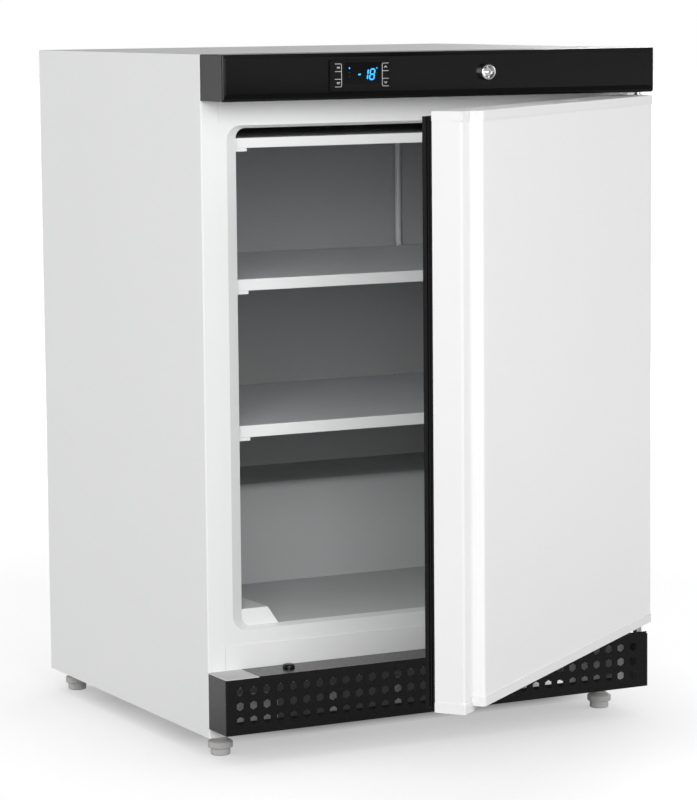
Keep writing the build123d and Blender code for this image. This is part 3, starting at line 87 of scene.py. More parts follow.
class Tree:
    """A node tree with short ways to add nodes. Each maker returns an output socket."""

    def __init__(self, owner):
        owner.use_nodes = True
        self.nodes = owner.node_tree.nodes
        self.links = owner.node_tree.links
        self.nodes.clear()

    def add(self, kind, **values):
        """A new node, with its settings. Returns the node itself."""
        node = self.nodes.new(kind)
        for name, value in values.items():
            setattr(node, name, value)
        return node

    def feed(self, node, socket, value):
        """Links a socket, or sets a plain value."""
        if isinstance(value, bpy.types.NodeSocket):
            self.links.new(value, node.inputs[socket])
        else:
            node.inputs[socket].default_value = value

    def place(self):
        """The point on the piece itself, in metres, which moves with the piece."""
        return self.add("ShaderNodeTexCoord").outputs["Object"]

    def stretch(self, point, scale):
        node = self.add("ShaderNodeMapping")
        self.feed(node, "Vector", point)
        self.feed(node, "Scale", scale)
        return node.outputs["Vector"]

    def offset(self, point, centre):
        node = self.add("ShaderNodeVectorMath", operation="SUBTRACT")
        self.feed(node, 0, point)
        self.feed(node, 1, centre)
        return node.outputs["Vector"]

    def length(self, vector):
        node = self.add("ShaderNodeVectorMath", operation="LENGTH")
        self.feed(node, 0, vector)
        return node.outputs["Value"]

    def axis(self, vector, name):
        node = self.add("ShaderNodeSeparateXYZ")
        self.feed(node, "Vector", vector)
        return node.outputs[name]

    def noise(self, point, scale, detail=2.0, roughness=0.5):
        node = self.add("ShaderNodeTexNoise")
        self.feed(node, "Vector", point)
        self.feed(node, "Scale", scale)
        self.feed(node, "Detail", detail)
        self.feed(node, "Roughness", roughness)
        return node.outputs["Fac"]

    def cells(self, point, scale, output="Distance"):
        node = self.add("ShaderNodeTexVoronoi")
        self.feed(node, "Vector", point)
        self.feed(node, "Scale", scale)
        return node.outputs[output]

    def spread(self, value, low, high, to_low=0.0, to_high=1.0):
        """Maps low..high to to_low..to_high, held at both ends."""
        node = self.add("ShaderNodeMapRange")
        self.feed(node, "Value", value)
        self.feed(node, "From Min", low)
        self.feed(node, "From Max", high)
        self.feed(node, "To Min", to_low)
        self.feed(node, "To Max", to_high)
        return node.outputs["Result"]

    def spread_noise(self, noise, to_low, to_high):
        return self.spread(noise, NOISE_LOW, NOISE_HIGH, to_low, to_high)

    def combine(self, operation, first, second):
        node = self.add("ShaderNodeMath", operation=operation)
        self.feed(node, 0, first)
        self.feed(node, 1, second)
        return node.outputs["Value"]

    def plus(self, first, second):
        return self.combine("ADD", first, second)

    def times(self, first, second):
        return self.combine("MULTIPLY", first, second)

    def larger(self, first, second):
        return self.combine("MAXIMUM", first, second)

    def blend(self, amount, first, second):
        """The first colour where amount is 0 and the second where it is 1."""
        node = self.add("ShaderNodeMix", data_type="RGBA")
        self.feed(node, "Factor", amount)
        colour_sockets = (6, 7)
        for socket, colour in zip(colour_sockets, (first, second)):
            if isinstance(colour, tuple):
                colour = (*colour, 1)
            self.feed(node, socket, colour)
        return node.outputs[2]

    def bump(self, height, depth):
        """A relief of the given depth in metres."""
        node = self.add("ShaderNodeBump")
        self.feed(node, "Height", height)
        self.feed(node, "Distance", depth)
        self.feed(node, "Strength", 1.0)
        return node.outputs["Normal"]

    def end(self, surface, output_kind="ShaderNodeOutputMaterial"):
        """Links the last shader to the tree's output."""
        output = self.add(output_kind)
        self.links.new(surface, output.inputs["Surface"])


def grey(value):
    return (value, value, value)


def scaled(colour, factor):
    return tuple(channel * factor for channel in colour)


def finish_material(name, paint, specular=0.5, metallic=0.0):
    """A material on the glossy shader. paint(tree, shader) makes its colour, gloss and relief."""
    material = bpy.data.materials.new(name)
    tree = Tree(material)
    shader = tree.add("ShaderNodeBsdfPrincipled")
    shader.inputs["IOR"].default_value = 1.5
    shader.inputs["Specular IOR Level"].default_value = specular
    shader.inputs["Metallic"].default_value = metallic
    paint(tree, shader)
    tree.end(shader.outputs["BSDF"])
    return material


# Finishes. Each returns the function that paints a shader. gloss is the middle roughness,
# grain is a pattern's scale in cells a metre, and relief depths are in metres.
def powder_coat(colour, gloss, grain=900.0, depth=0.06 * MM):
    """Sprayed and baked paint: fine orange peel, with slow drifts of tone and gloss."""

    def paint(tree, shader):
        point = tree.place()
        slow = tree.noise(point, 6.0, detail=3.0)
        fine = tree.noise(point, grain, detail=3.0, roughness=0.6)
        pores = tree.noise(point, grain * 0.28)
        tree.feed(shader, "Base Color", tree.blend(slow, scaled(colour, 0.98), colour))
        tree.feed(shader, "Roughness", tree.spread_noise(pores, gloss - 0.04, gloss + 0.06))
        tree.feed(shader, "Normal", tree.bump(tree.plus(fine, tree.times(pores, 1.6)), depth))

    return paint


def moulded(colour, gloss, grain=1500.0, scuff=0.0):
    """Moulded plastic: a fine spark-eroded grain, and scuffs on a part that is handled."""

    def paint(tree, shader):
        point = tree.place()
        slow = tree.noise(point, 9.0)
        patchy = tree.noise(point, 30.0, detail=3.0)
        rubbed = tree.spread(tree.noise(point, 45.0, detail=6.0, roughness=0.7), 0.5, 0.72)
        tone = tree.blend(slow, scaled(colour, 0.985), colour)
        scuffed = tree.blend(tree.times(rubbed, scuff), tone, scaled(colour, 1 - scuff))
        tree.feed(shader, "Base Color", scuffed)
        tree.feed(shader, "Roughness", tree.plus(tree.times(patchy, 0.1), gloss - 0.05))
        tree.feed(shader, "Normal", tree.bump(tree.cells(point, grain), 0.03 * MM))

    return paint


def drawn_profile(colour, gloss):
    """Extruded plastic: faint lengthwise die lines."""

    def paint(tree, shader):
        point = tree.place()
        lines = tree.noise(tree.stretch(point, (900.0, 900.0, 3.0)), 1.0)
        slow = tree.noise(point, 12.0)
        tree.feed(shader, "Base Color", tree.blend(slow, scaled(colour, 0.985), colour))
        tree.feed(shader, "Roughness", tree.spread_noise(lines, gloss - 0.05, gloss + 0.07))
        tree.feed(shader, "Normal", tree.bump(lines, 0.02 * MM))

    return paint


def drawn_sheet_painted_shade(near_colour, painted_shade_colour, gloss):
    """The vacuum-formed liner: satin, a little uneven where the sheet was stretched, with painted
    shade that greys its colour from the mouth towards the back of the room."""
    mouth = -0.235
    far = 0.08

    def paint(tree, shader):
        point = tree.place()
        stretched = tree.noise(point, 14.0, detail=3.0)
        fine = tree.noise(point, 1300.0)
        # painted shade: the colour greys with depth, from white at the mouth to grey at the back
        depth = tree.spread(tree.axis(point, "Y"), mouth, far)
        near = tree.blend(stretched, scaled(near_colour, 0.98), near_colour)
        tree.feed(shader, "Base Color", tree.blend(depth, near, painted_shade_colour))
        tree.feed(shader, "Roughness", tree.spread_noise(stretched, gloss - 0.05, gloss + 0.08))
        relief = tree.plus(fine, tree.times(stretched, 6.0))
        tree.feed(shader, "Normal", tree.bump(relief, 0.04 * MM))

    return paint


def galvanised(colour, gloss):
    """Hot-dip zinc: flat crystals with their own tone and shine."""

    def paint(tree, shader):
        point = tree.place()
        tone = tree.axis(tree.cells(point, 110.0, output="Color"), "X")
        streaks = tree.noise(tree.stretch(point, (60.0, 60.0, 400.0)), 1.0, detail=3.0)
        mixed = tree.plus(tree.times(tone, 0.7), tree.times(streaks, 0.3))
        tree.feed(shader, "Base Color", tree.blend(mixed, scaled(colour, 0.82), scaled(colour, 1.12)))
        tree.feed(shader, "Roughness", tree.spread(mixed, 0.0, 1.0, gloss + 0.12, gloss - 0.06))
        tree.feed(shader, "Normal", tree.bump(tree.noise(point, 420.0, detail=3.0), 0.05 * MM))

    return paint


def plated(colour, gloss):
    """Plated steel fittings: fine brushing and small stains."""

    def paint(tree, shader):
        point = tree.place()
        brushing = tree.noise(tree.stretch(point, (1.0, 1.0, 9.0)), 960.0)
        stains = tree.spread(tree.noise(point, 160.0, detail=4.0, roughness=0.65), 0.48, 0.7)
        tree.feed(shader, "Base Color", tree.blend(stains, colour, scaled(colour, 0.72)))
        tree.feed(shader, "Roughness", tree.spread_noise(brushing, gloss - 0.04, gloss + 0.08))
        tree.feed(shader, "Normal", tree.bump(brushing, 0.01 * MM))

    return paint


def turned_chrome(centre):
    """Bright chrome with hairline rings about the lock's axis."""

    def paint(tree, shader):
        point = tree.place()
        from_axis = tree.length(tree.stretch(tree.offset(point, centre), (1.0, 0.0, 1.0)))
        rings = tree.noise(tree.times(from_axis, 9000.0), 1.0)
        marks = tree.spread(tree.noise(point, 900.0, detail=4.0, roughness=0.7), 0.5, 0.75)
        tree.feed(shader, "Base Color", tree.blend(marks, grey(0.80), grey(0.62)))
        tree.feed(shader, "Roughness", tree.spread_noise(rings, 0.07, 0.2))
        tree.feed(shader, "Normal", tree.bump(rings, 0.008 * MM))

    return paint


def rubber(colour, gloss, bloom=0.35):
    """Soft black profile or pad: matte, with a pale bloom in patches."""

    def paint(tree, shader):
        point = tree.place()
        cloud = tree.noise(point, 70.0, detail=6.0, roughness=0.65)
        dusty = tree.spread(cloud, 0.42, 0.8, 0.0, bloom)
        patchy = tree.noise(point, 200.0, detail=3.0)
        pale = tuple(channel * 3.0 + 0.01 for channel in colour)
        tree.feed(shader, "Base Color", tree.blend(dusty, colour, pale))
        tree.feed(shader, "Roughness", tree.spread_noise(patchy, gloss, gloss + 0.12))
        tree.feed(shader, "Normal", tree.bump(tree.noise(point, 1200.0, detail=3.0), 0.03 * MM))

    return paint


def foam(colour):
    """Rigid foam: open cells where it was cut."""

    def paint(tree, shader):
        point = tree.place()
        cells = tree.cells(point, 700.0)
        cloud = tree.noise(point, 12.0, detail=4.0)
        tree.feed(shader, "Base Color", tree.blend(cloud, scaled(colour, 0.86), colour))
        tree.feed(shader, "Roughness", tree.spread(cells, 0.0, 0.8, 0.75, 0.95))
        tree.feed(shader, "Normal", tree.bump(cells, 0.2 * MM))

    return paint


def tarnished(colour, brown):
    """Drawn copper tube with brown tarnish in patches."""

    def paint(tree, shader):
        point = tree.place()
        tarnish = tree.spread(tree.noise(point, 38.0, detail=5.0, roughness=0.6), 0.42, 0.68)
        tree.feed(shader, "Base Color", tree.blend(tarnish, colour, brown))
        tree.feed(shader, "Roughness", tree.spread(tarnish, 0.0, 1.0, 0.22, 0.5))
        tree.feed(shader, "Normal", tree.bump(tree.noise(point, 500.0, detail=3.0), 0.03 * MM))

    return paint


def dusty_black(colour, gloss):
    """Black lacquer on parts behind the cabinet, with dust on what faces up."""
    dust_colour = (0.30, 0.28, 0.25)
    most_dust = 0.35

    def paint(tree, shader):
        point = tree.place()
        facing = tree.axis(tree.add("ShaderNodeNewGeometry").outputs["Normal"], "Z")
        upward = tree.spread(facing, 0.2, 1.0, 0.0, most_dust)
        patchy = tree.spread(tree.noise(point, 60.0, detail=5.0, roughness=0.65), 0.35, 0.65)
        settled = tree.times(upward, patchy)
        tree.feed(shader, "Base Color", tree.blend(settled, colour, dust_colour))
        tree.feed(shader, "Roughness", tree.spread(settled, 0.0, most_dust, gloss, 0.8))
        tree.feed(shader, "Normal", tree.bump(tree.noise(point, 350.0, detail=3.0), 0.05 * MM))

    return paint


def window_gloss(colour):
    """The display's smoked window: deep gloss with the faintest wipe marks."""

    def paint(tree, shader):
        point = tree.place()
        wiped = tree.noise(tree.stretch(point, (120.0, 120.0, 900.0)), 1.0, detail=4.0)
        tree.feed(shader, "Base Color", tree.blend(wiped, colour, scaled(colour, 1.6)))
        tree.feed(shader, "Roughness", tree.spread_noise(wiped, 0.05, 0.11))

    return paint


def ink(colour, glow=0.0):
    """Printed marks, or the lit strokes of the display."""

    def paint(tree, shader):
        uneven = tree.noise(tree.place(), 2500.0)
        tone = tree.blend(uneven, scaled(colour, 0.85), colour)
        tree.feed(shader, "Base Color", tone)
        tree.feed(shader, "Roughness", tree.spread_noise(uneven, 0.4, 0.55))
        if glow:
            tree.feed(shader, "Emission Color", tone)
            shader.inputs["Emission Strength"].default_value = glow

    return paint


# Colours
CASING_WHITE = (0.865, 0.868, 0.872)
DOOR_WHITE = grey(0.845)
SHELF_WHITE = (0.80, 0.81, 0.82)
LINER_WHITE = (0.86, 0.865, 0.868)
# The liner's colour at the back of the room: painted shade, not the plastic's own colour
LINER_PAINTED_SHADE = (0.42, 0.425, 0.43)
PROFILE_WHITE = grey(0.80)
TRIM_WHITE = (0.87, 0.872, 0.875)
TUBE_WHITE = (0.74, 0.75, 0.76)
FOOT_GREY = (0.47, 0.465, 0.455)
ZINC_COAT = (0.52, 0.53, 0.54)
ZINC_PLATE = (0.66, 0.67, 0.68)
COPPER = (0.72, 0.36, 0.22)
COPPER_BROWN = (0.22, 0.10, 0.055)
FOAM_YELLOW = (0.80, 0.70, 0.40)
RELAY_BLACK = (0.018, 0.018, 0.02)
SMOKED_GLASS = (0.001, 0.0012, 0.002)
PRINT_WHITE = (0.82, 0.82, 0.80)
DISPLAY_BLUE = (0.02, 0.42, 1.0)
DISPLAY_DARK = (0.006, 0.014, 0.035)

LOCK_AXIS = sum(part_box("lock_barrel"), Vector()) / 2


def painted_steel():
    return {
        "casing_paint": dict(paint=powder_coat(CASING_WHITE, 0.5), specular=0.4),
        "frame_paint": dict(paint=powder_coat(CASING_WHITE, 0.4)),
        "door_paint": dict(
            paint=powder_coat(DOOR_WHITE, 0.4, grain=700.0, depth=0.04 * MM), specular=0.4
        ),
        "shelf_paint": dict(paint=powder_coat(SHELF_WHITE, 0.42)),
        "plinth_paint": dict(
            paint=powder_coat(grey(0.002), 0.22, depth=0.01 * MM), specular=0.42
        ),
        "dark_steel": dict(paint=powder_coat(grey(0.012), 0.5), specular=0.3),
        "condenser_paint": dict(paint=dusty_black(grey(0.012), 0.38)),
        "compressor_paint": dict(paint=dusty_black(grey(0.008), 0.22)),
    }


def bare_metals():
    return {
        "galvanised_steel": dict(paint=galvanised(ZINC_COAT, 0.5), metallic=0.7),
        "zinc_hardware": dict(paint=plated(ZINC_PLATE, 0.3), metallic=1.0),
        "black_screw": dict(paint=plated(grey(0.02), 0.2), metallic=0.5),
        "lock_metal": dict(paint=turned_chrome(LOCK_AXIS), metallic=1.0),
        "copper": dict(paint=tarnished(COPPER, COPPER_BROWN), metallic=1.0),
    }


def pale_plastics():
    return {
        "liner_plastic": dict(paint=drawn_sheet_painted_shade(LINER_WHITE, LINER_PAINTED_SHADE, 0.4)),
        "door_profile_plastic": dict(paint=drawn_profile(PROFILE_WHITE, 0.45), specular=0.3),
        "trim_plastic": dict(paint=moulded(TRIM_WHITE, 0.38), specular=0.35),
        "evaporator_tube": dict(paint=moulded(TUBE_WHITE, 0.45, grain=900.0)),
        "foot_plastic": dict(paint=moulded(FOOT_GREY, 0.45, scuff=0.35)),
        "notch_plastic": dict(paint=moulded(grey(0.60), 0.45)),
        "bush_plastic": dict(paint=moulded(grey(0.72), 0.4)),
        "rigid_foam": dict(paint=foam(FOAM_YELLOW)),
    }


def black_plastics():
    return {
        "fascia_housing_plastic": dict(
            paint=moulded(grey(0.010), 0.42, grain=1100.0), specular=0.32
        ),
        "fascia_plastic": dict(paint=moulded(grey(0.003), 0.16), specular=0.3),
        "controller_plastic": dict(
            paint=moulded(grey(0.003), 0.5, grain=2200.0), specular=0.18
        ),
        "display_window": dict(paint=window_gloss(SMOKED_GLASS), specular=0.2),
        "relay_plastic": dict(paint=moulded(RELAY_BLACK, 0.45)),
        "inlet_plastic": dict(paint=moulded(grey(0.014), 0.42)),
        "gasket_rubber": dict(paint=rubber(grey(0.005), 0.36, bloom=0.12), specular=0.25),
        "mount_rubber": dict(paint=rubber(grey(0.014), 0.6)),
    }


def cad_materials():
    """One material for each slot of the record."""
    finishes = {**painted_steel(), **bare_metals(), **pale_plastics(), **black_plastics()}
    return {name: finish_material(name, **finish) for name, finish in finishes.items()}


def paint_cad(materials):
    """Gives each node the material of its slot."""
    for subpart in frame["record"]["subparts"]:
        mesh = nodes[subpart["node"]].data
        mesh.materials.clear()
        mesh.materials.append(materials[subpart["material_slot"]])


# Flat marks, drawn facing -Y
PRINT = 0.02 * MM
MITRE_LIMIT = 0.3


def add_piece(name, mesh, material, body):
    """Hangs a finished mesh on a body of the frame."""
    piece = bpy.data.objects.new(name, mesh)
    mesh.materials.clear()
    mesh.materials.append(material)
    bpy.context.scene.collection.objects.link(piece)
    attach(piece, body)


def add_mark(name, outline, plane_y, material, body):
    """An outline in the XZ plane, as thick as a print, standing proud towards the front."""
    made = bmesh.new()
    made.faces.new([made.verts.new((x, plane_y, z)) for x, z in outline])
    bmesh.ops.recalc_face_normals(made, faces=made.faces)
    lifted = bmesh.ops.extrude_face_region(made, geom=made.faces[:])
    moved = [item for item in lifted["geom"] if isinstance(item, bmesh.types.BMVert)]
    bmesh.ops.translate(made, vec=(0, -PRINT, 0), verts=moved)
    bmesh.ops.recalc_face_normals(made, faces=made.faces)
    mesh = bpy.data.meshes.new(name)
    made.to_mesh(mesh)
    made.free()
    add_piece(name, mesh, material, body)


def stroke(points, line_width):
    """A band of the given width along a line of points, with mitred corners."""
    left = []
    right = []
    last = len(points) - 1
    for index, point in enumerate(points):
        before = Vector(points[max(index - 1, 0)])
        after = Vector(points[min(index + 1, last)])
        here = Vector(point)
        incoming = (here - before).normalized() if index > 0 else (after - here).normalized()
        outgoing = (after - here).normalized() if index < last else incoming
        along = (incoming + outgoing).normalized()
        across = Vector((-along.y, along.x))
        reach = line_width / 2 / max(along.dot(incoming), MITRE_LIMIT)
        left.append(tuple(here + across * reach))
        right.append(tuple(here - across * reach))
    return left + right[::-1]


def arc(centre, radius, start, end, steps=8):
    """Points on an arc, angles in degrees."""
    turns = [math.radians(start + (end - start) * i / steps) for i in range(steps + 1)]
    return [(centre[0] + radius * math.cos(t), centre[1] + radius * math.sin(t)) for t in turns]


def disc(centre, radius):
    """A small lamp's outline, with twelve sides."""
    return arc(centre, radius, 0, 330, steps=11)


def rectangle(x0, x1, z0, z1):
    return [(x0, z0), (x1, z0), (x1, z1), (x0, z1)]


# The keys' marks
KEY_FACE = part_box("controller_body")[0].y + 0.8 * MM
OUTLINE_LINE = 0.48 * MM
OUTLINE_GAP = 0.6 * MM
OUTLINE_CORNER = 1.6 * MM
OUTLINE_CELLS = 3
ARROW_HALF = 1.9 * MM
ARROW_RISE = 0.9 * MM
ARROW_LINE = 0.7 * MM
DROP_PITCH = 1.35 * MM
DROP_HALF = 1.1 * MM
DROP_LINE = 0.5 * MM
BAR_HALF = 0.55 * MM
BAR_LOW = -0.2 * MM
BAR_HIGH = 0.3 * MM
WORD_SIZE = 3.1 * MM
WORD_SWELL = 0.03 * MM


def key_outline(material, side, upper_key, lower_key):
    """The printed outline round a pair of keys: closed towards the window, three cells high."""
    upper_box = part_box(upper_key)
    lower_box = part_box(lower_key)
    if side == "left":
        inner = upper_box[1].x + OUTLINE_GAP
        outer = lower_box[0].x - OUTLINE_GAP
        centre_x = inner - OUTLINE_CORNER
        top_turn = (90, 0)
        bottom_turn = (0, -90)
    else:
        inner = lower_box[0].x - OUTLINE_GAP
        outer = upper_box[1].x + OUTLINE_GAP
        centre_x = inner + OUTLINE_CORNER
        top_turn = (90, 180)
        bottom_turn = (180, 270)
    top = upper_box[1].z + OUTLINE_GAP
    bottom = lower_box[0].z - OUTLINE_GAP
    rounded_top = arc((centre_x, top - OUTLINE_CORNER), OUTLINE_CORNER, *top_turn)
    rounded_bottom = arc((centre_x, bottom + OUTLINE_CORNER), OUTLINE_CORNER, *bottom_turn)
    lines = [[(outer, top), *rounded_top, *rounded_bottom, (outer, bottom)]]
    for cell in range(1, OUTLINE_CELLS):
        z = bottom + (top - bottom) * cell / OUTLINE_CELLS
        lines.append([(outer, z), (inner, z)])
    for number, line in enumerate(lines):
        add_mark(f"key_outline_{side}_{number}", stroke(line, OUTLINE_LINE), KEY_FACE, material,
                 "cabinet")


def arrow_mark(material, key, toward):
    """An arrow head, up for toward 1 and down for -1."""
    low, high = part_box(key)
    middle = (low + high) / 2
    foot_z = middle.z - ARROW_RISE * toward
    peak = (middle.x, middle.z + ARROW_RISE * toward)
    head = [(middle.x - ARROW_HALF, foot_z), peak, (middle.x + ARROW_HALF, foot_z)]
    add_mark(f"{key}_arrow", stroke(head, ARROW_LINE), low.y, material, key)


def thaw_mark(material):
    """Three upright drops, each with a short bar across it, one print above it."""
    low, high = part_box("key_defrost")
    middle = (low + high) / 2
    number = 0
    for column in (-1, 0, 1):
        x = middle.x + column * DROP_PITCH
        drop = stroke([(x, middle.z - DROP_HALF), (x, middle.z + DROP_HALF)], DROP_LINE)
        bar = rectangle(x - BAR_HALF, x + BAR_HALF, middle.z + BAR_LOW, middle.z + BAR_HIGH)
        for layer, outline in enumerate((drop, bar)):
            add_mark(f"key_defrost_mark_{number}", outline, low.y - layer * PRINT, material,
                     "key_defrost")
            number += 1


def set_word(material):
    """The word SET, from font curves turned to face the front."""
    low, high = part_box("key_set")
    middle = (low + high) / 2
    data = bpy.data.curves.new("key_set_word", "FONT")
    data.body = "SET"
    data.size = WORD_SIZE
    data.align_x = "CENTER"
    data.align_y = "CENTER"
    data.offset = WORD_SWELL
    data.extrude = PRINT
    word = bpy.data.objects.new("key_set_word_curve", data)
    upright = Matrix.Rotation(math.pi / 2, 4, "X")
    word.matrix_world = Matrix.Translation((middle.x, low.y - PRINT / 2, middle.z)) @ upright
    bpy.context.scene.collection.objects.link(word)
    bpy.context.view_layer.update()
    solved = word.evaluated_get(bpy.context.evaluated_depsgraph_get())
    mesh = bpy.data.meshes.new_from_object(solved)
    mesh.transform(word.matrix_world)
    bpy.data.objects.remove(word)
    add_piece("key_set_word", mesh, material, "key_set")


def key_prints(material):
    key_outline(material, "left", "key_defrost", "key_set")
    key_outline(material, "right", "key_up", "key_down")
    arrow_mark(material, "key_up", 1)
    arrow_mark(material, "key_down", -1)
    thaw_mark(material)
    set_word(material)


# The display. Places are measured from the window's lower left corner.
window_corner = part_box("controller_window")[0]
WINDOW_FACE = window_corner.y
FIGURE_BOTTOM = 4.5 * MM
FIGURE_HEIGHT = 14.0 * MM
STROKE_WIDTH = 1.75 * MM
SLANT = 0.13
STROKE_GAP = 0.12
LAMP_COLUMN = 6.15 * MM
DEGREE_COLUMN = 43.05 * MM

# Each figure with its left edge and its width
FIGURES = (
    ("8", 32.15 * MM, 7.6 * MM),
    ("1", 23.25 * MM, 7.6 * MM),
    ("-", 15.45 * MM, 6.4 * MM),
)

# Each lamp with its place and radius
LIT_LAMPS = (
    ("cooling", LAMP_COLUMN, 19.2 * MM, 0.95 * MM),
    ("degree", DEGREE_COLUMN, 18.8 * MM, 0.8 * MM),
)
UNLIT_RADIUS = 0.75 * MM
UNLIT_LAMPS = (
    (LAMP_COLUMN, 14.0 * MM),
    (LAMP_COLUMN, 9.2 * MM),
    (DEGREE_COLUMN, 13.2 * MM),
)

# Which of the seven strokes are lit in each figure
LIT = {"1": "bc", "8": "abcdefg", "-": "g"}


def segment(letter, width):
    """One stroke of a figure as a six-sided bar, on a figure whose lower left corner is the origin."""
    half = STROKE_WIDTH / 2
    bottom = half
    centre = FIGURE_HEIGHT / 2
    top = FIGURE_HEIGHT - half
    left = half
    right = width - half
    ends = {
        "a": ((left, top), (right, top)),
        "b": ((right, top), (right, centre)),
        "c": ((right, centre), (right, bottom)),
        "d": ((left, bottom), (right, bottom)),
        "e": ((left, centre), (left, bottom)),
        "f": ((left, top), (left, centre)),
        "g": ((left, centre), (right, centre)),
    }
    start, end = (Vector(point) for point in ends[letter])
    along = (end - start).normalized()
    across = Vector((-along.y, along.x)) * half
    start = start + along * STROKE_GAP * STROKE_WIDTH
    end = end - along * STROKE_GAP * STROKE_WIDTH
    shoulder = along * half
    return [start, start + shoulder + across, end - shoulder + across, end,
            end - shoulder - across, start + shoulder - across]


def figure(character, left, width):
    """The lit strokes of one character, leaning to the right."""
    x = window_corner.x + left
    z = window_corner.z + FIGURE_BOTTOM
    strokes = []
    for letter in LIT[character]:
        points = segment(letter, width)
        strokes.append([(x + point.x + point.y * SLANT, z + point.y) for point in points])
    return strokes


def display_print(name, outline, material):
    add_mark(name, outline, WINDOW_FACE, material, "cabinet")


def display_figures(lit, unlit):
    """The temperature, minus eighteen, and the small lamps beside it."""
    strokes = []
    for character, left, width in FIGURES:
        strokes += figure(character, left, width)
    for number, outline in enumerate(strokes):
        display_print(f"display_stroke_{number}", outline, lit)
    for name, x, z, radius in LIT_LAMPS:
        centre = (window_corner.x + x, window_corner.z + z)
        display_print(f"display_lamp_{name}", disc(centre, radius), lit)
    for number, (x, z) in enumerate(UNLIT_LAMPS):
        centre = (window_corner.x + x, window_corner.z + z)
        display_print(f"display_unlit_{number}", disc(centre, UNLIT_RADIUS), unlit)


# Floor
FLOOR_REACH = 30.0
FLOOR_DROP = 0.2 * MM
NEAR_FLOOR = 1.0
FAR_FLOOR = 3.0
NEAR_LEVEL = 0.76
FLOOR_GREY = grey(0.36)
# Painted shadow: the floor's colour and glow are set darker under the cabinet
PAINTED_SHADOW_GREY = grey(0.05)
PAINTED_SHADOW_LEVEL = 0.05
# Painted contact shade: how far the occlusion test reaches, and the lowest glow it leaves
CONTACT_REACH = 0.25
CONTACT_LEVEL = 0.55

# Where the painted shadow under the cabinet begins and ends
SHADE_LEFT = (-0.30, -0.13)
SHADE_RIGHT = (0.23, 0.32)
SHADE_FRONT = (-0.18, -0.12)
SHADE_BACK = (0.14, 0.28)

# How bright glossy pieces mirror the floor: dim just in front of the cabinet, white beside and
# behind it, and fairly bright again far in front of it
BESIDE_FROM = -0.35
BESIDE_TO = 0.1
FRONT_MIRRORED = 0.1
FAR_AHEAD = -6.0
FAR_AHEAD_ENDS = -2.0
FAR_AHEAD_MIRRORED = 0.84


def seen_directly(tree, mirrored=1.0):
    """One for a ray from the camera or through glass, and mirrored for one off a glossy surface."""
    path = tree.add("ShaderNodeLightPath")
    glossy = tree.times(path.outputs["Is Glossy Ray"], mirrored)
    direct = tree.larger(path.outputs["Is Camera Ray"], path.outputs["Is Transmission Ray"])
    return tree.larger(direct, glossy)


def painted_shadow_mask(tree, across, along):
    """The mask of the painted shadow: one under the cabinet and zero round it."""
    from_left = tree.spread(across, *SHADE_LEFT)
    to_right = tree.spread(across, *SHADE_RIGHT, 1.0, 0.0)
    from_front = tree.spread(along, *SHADE_FRONT)
    to_back = tree.spread(along, *SHADE_BACK, 1.0, 0.0)
    return tree.times(tree.times(from_left, to_right), tree.times(from_front, to_back))


def floor_material():
    """Pale paper that glows where it is seen. A painted shadow darkens its glow and colour under the
    cabinet, and painted contact shade dims its glow near the cabinet.
    """
    material = bpy.data.materials.new("floor_paper")
    tree = Tree(material)
    point = tree.place()
    paper = tree.spread(tree.length(point), NEAR_FLOOR, FAR_FLOOR, NEAR_LEVEL, 1.0)
    along = tree.axis(point, "Y")
    # painted shadow: a patch under the cabinet, placed by the floor's own coordinates
    painted_shadow = painted_shadow_mask(tree, tree.axis(point, "X"), along)
    # painted contact shade: the glow is dimmed where ambient occlusion finds the cabinet near
    open_sky = tree.add("ShaderNodeAmbientOcclusion", samples=8)
    tree.feed(open_sky, "Distance", CONTACT_REACH)
    painted_contact_shade = tree.spread(open_sky.outputs["AO"], 0.0, 1.0, CONTACT_LEVEL, 1.0)
    # painted shadow: the glow drops to a low level under the cabinet
    clear = tree.spread(painted_shadow, 0.0, 1.0, 1.0, PAINTED_SHADOW_LEVEL)
    shown = tree.times(tree.times(paper, painted_contact_shade), clear)
    beside = tree.spread(along, BESIDE_FROM, BESIDE_TO, FRONT_MIRRORED, 1.0)
    far_ahead = tree.spread(along, FAR_AHEAD, FAR_AHEAD_ENDS, FAR_AHEAD_MIRRORED, 0.0)
    mirrored = tree.larger(beside, far_ahead)
    shine = tree.add("ShaderNodeEmission")
    tree.feed(shine, "Strength", tree.times(seen_directly(tree, mirrored), shown))
    diffuse = tree.add("ShaderNodeBsdfDiffuse")
    # painted shadow: the paper's colour is a darker grey under the cabinet
    tree.feed(diffuse, "Color", tree.blend(painted_shadow, FLOOR_GREY, PAINTED_SHADOW_GREY))
    both = tree.add("ShaderNodeAddShader")
    tree.links.new(diffuse.outputs["BSDF"], both.inputs[0])
    tree.links.new(shine.outputs["Emission"], both.inputs[1])
    tree.end(both.outputs["Shader"])
    return material


def add_floor():
    """A wide floor just under the feet."""
    made = bmesh.new()
    bmesh.ops.create_grid(made, x_segments=8, y_segments=8, size=FLOOR_REACH)
    mesh = bpy.data.meshes.new("floor")
    made.to_mesh(mesh)
    made.free()
    mesh.materials.append(floor_material())
    floor = bpy.data.objects.new("floor", mesh)
    floor.location.z = -FLOOR_DROP
    bpy.context.scene.collection.objects.link(floor)


# Surround
WHITE = (1, 1, 1, 1)
LOW_LEVEL = 0.67
OVERHEAD_LEVEL = 0.20
OVERHEAD_FROM = 0.8
FRONT_SHARE = 1.5
BACK_SHARE = 0.6
ROOM_BEHIND_CAMERA = 0.16
ROOM_SIDE = 0.1
ROOM_BACK = 0.55
WALL_MIRRORED = 0.9
CEILING_MIRRORED = 0.6
CEILING_FROM = 0.25


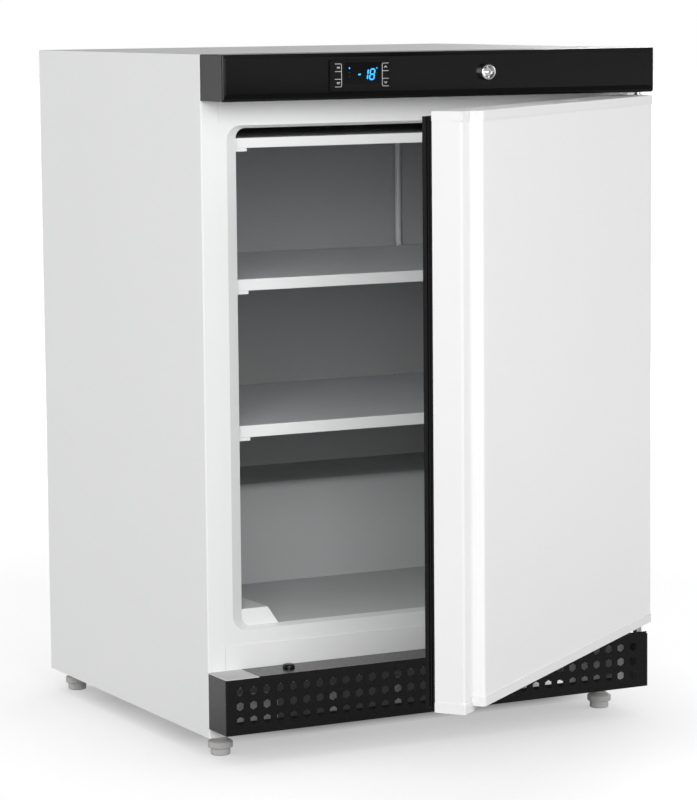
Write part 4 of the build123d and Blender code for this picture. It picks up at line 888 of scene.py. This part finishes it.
def soft_light(tree, direction):
    """The level that lights the object: most from low in front, least from overhead."""
    rising = tree.spread(tree.axis(direction, "Z"), 0.0, OVERHEAD_FROM, LOW_LEVEL, OVERHEAD_LEVEL)
    from_front = tree.spread(tree.axis(direction, "Y"), -1.0, 1.0, FRONT_SHARE, BACK_SHARE)
    return tree.times(rising, from_front)


def mirrored_room(tree, direction):
    """What glossy pieces show: a pale wall at the back, and a dim room from the sides forward."""
    along = tree.axis(direction, "Y")
    facing_back = tree.spread(along, ROOM_SIDE, ROOM_BACK, ROOM_BEHIND_CAMERA, 1.0)
    height = tree.axis(direction, "Z")
    ceiling = tree.spread(height, 0.0, CEILING_FROM, WALL_MIRRORED, CEILING_MIRRORED)
    return tree.times(facing_back, ceiling)


def background(tree, strength):
    node = tree.add("ShaderNodeBackground")
    tree.feed(node, "Color", WHITE)
    tree.feed(node, "Strength", strength)
    return node.outputs["Background"]


def add_world():
    """White for the camera, the mirrored room for glossy pieces and a soft light for the rest."""
    world = bpy.data.worlds.new("surround")
    bpy.context.scene.world = world
    tree = Tree(world)
    direction = tree.add("ShaderNodeTexCoord").outputs["Generated"]
    camera_ray = tree.add("ShaderNodeLightPath").outputs["Is Camera Ray"]
    light = background(tree, soft_light(tree, direction))
    seen = background(tree, tree.larger(mirrored_room(tree, direction), camera_ray))
    choice = tree.add("ShaderNodeMixShader")
    tree.feed(choice, "Fac", seen_directly(tree))
    tree.links.new(light, choice.inputs[1])
    tree.links.new(seen, choice.inputs[2])
    tree.end(choice.outputs["Shader"], "ShaderNodeOutputWorld")


# Lamps, all aimed at the cabinet's middle: direction, distance, size, and the brightness that
# each gives a white surface facing it
LAMP_AIM = Vector((0, 0, 0.45))
LAMPS = {
    "key": ((-0.38, -0.90, 0.24), 4.0, (3.0, 1.8), 0.63),
    "right_fill": ((0.80, -0.50, 0.20), 4.2, (1.8, 1.8), 0.24),
    "rear_left": ((-0.90, 0.43, 0.14), 4.2, (1.8, 1.8), 0.28),
    "rear_right": ((0.72, 0.68, 0.22), 4.2, (1.8, 1.8), 0.24),
}


def add_lamp(name, direction, distance, size, level):
    """A soft box."""
    toward = Vector(direction).normalized()
    data = bpy.data.lights.new(name, "AREA")
    data.shape = "RECTANGLE"
    data.size, data.size_y = size
    data.energy = level * math.pi ** 2 * distance ** 2
    lamp = bpy.data.objects.new(name, data)
    lamp.visible_camera = False
    turn = (-toward).to_track_quat("-Z", "Y").to_matrix().to_4x4()
    lamp.matrix_world = Matrix.Translation(LAMP_AIM + toward * distance) @ turn
    bpy.context.scene.collection.objects.link(lamp)


bpy.context.scene.view_settings.view_transform = "Standard"
add_camera()
add_floor()
add_world()
for lamp_name, lamp_values in LAMPS.items():
    add_lamp(lamp_name, *lamp_values)

paint_cad(cad_materials())

white_print = finish_material("white_print", ink(PRINT_WHITE))
blue_glow = finish_material("blue_glow", ink(DISPLAY_BLUE, glow=1.0))
blue_dim = finish_material("blue_dim", ink(DISPLAY_DARK))
key_prints(white_print)
display_figures(blue_glow, blue_dim)
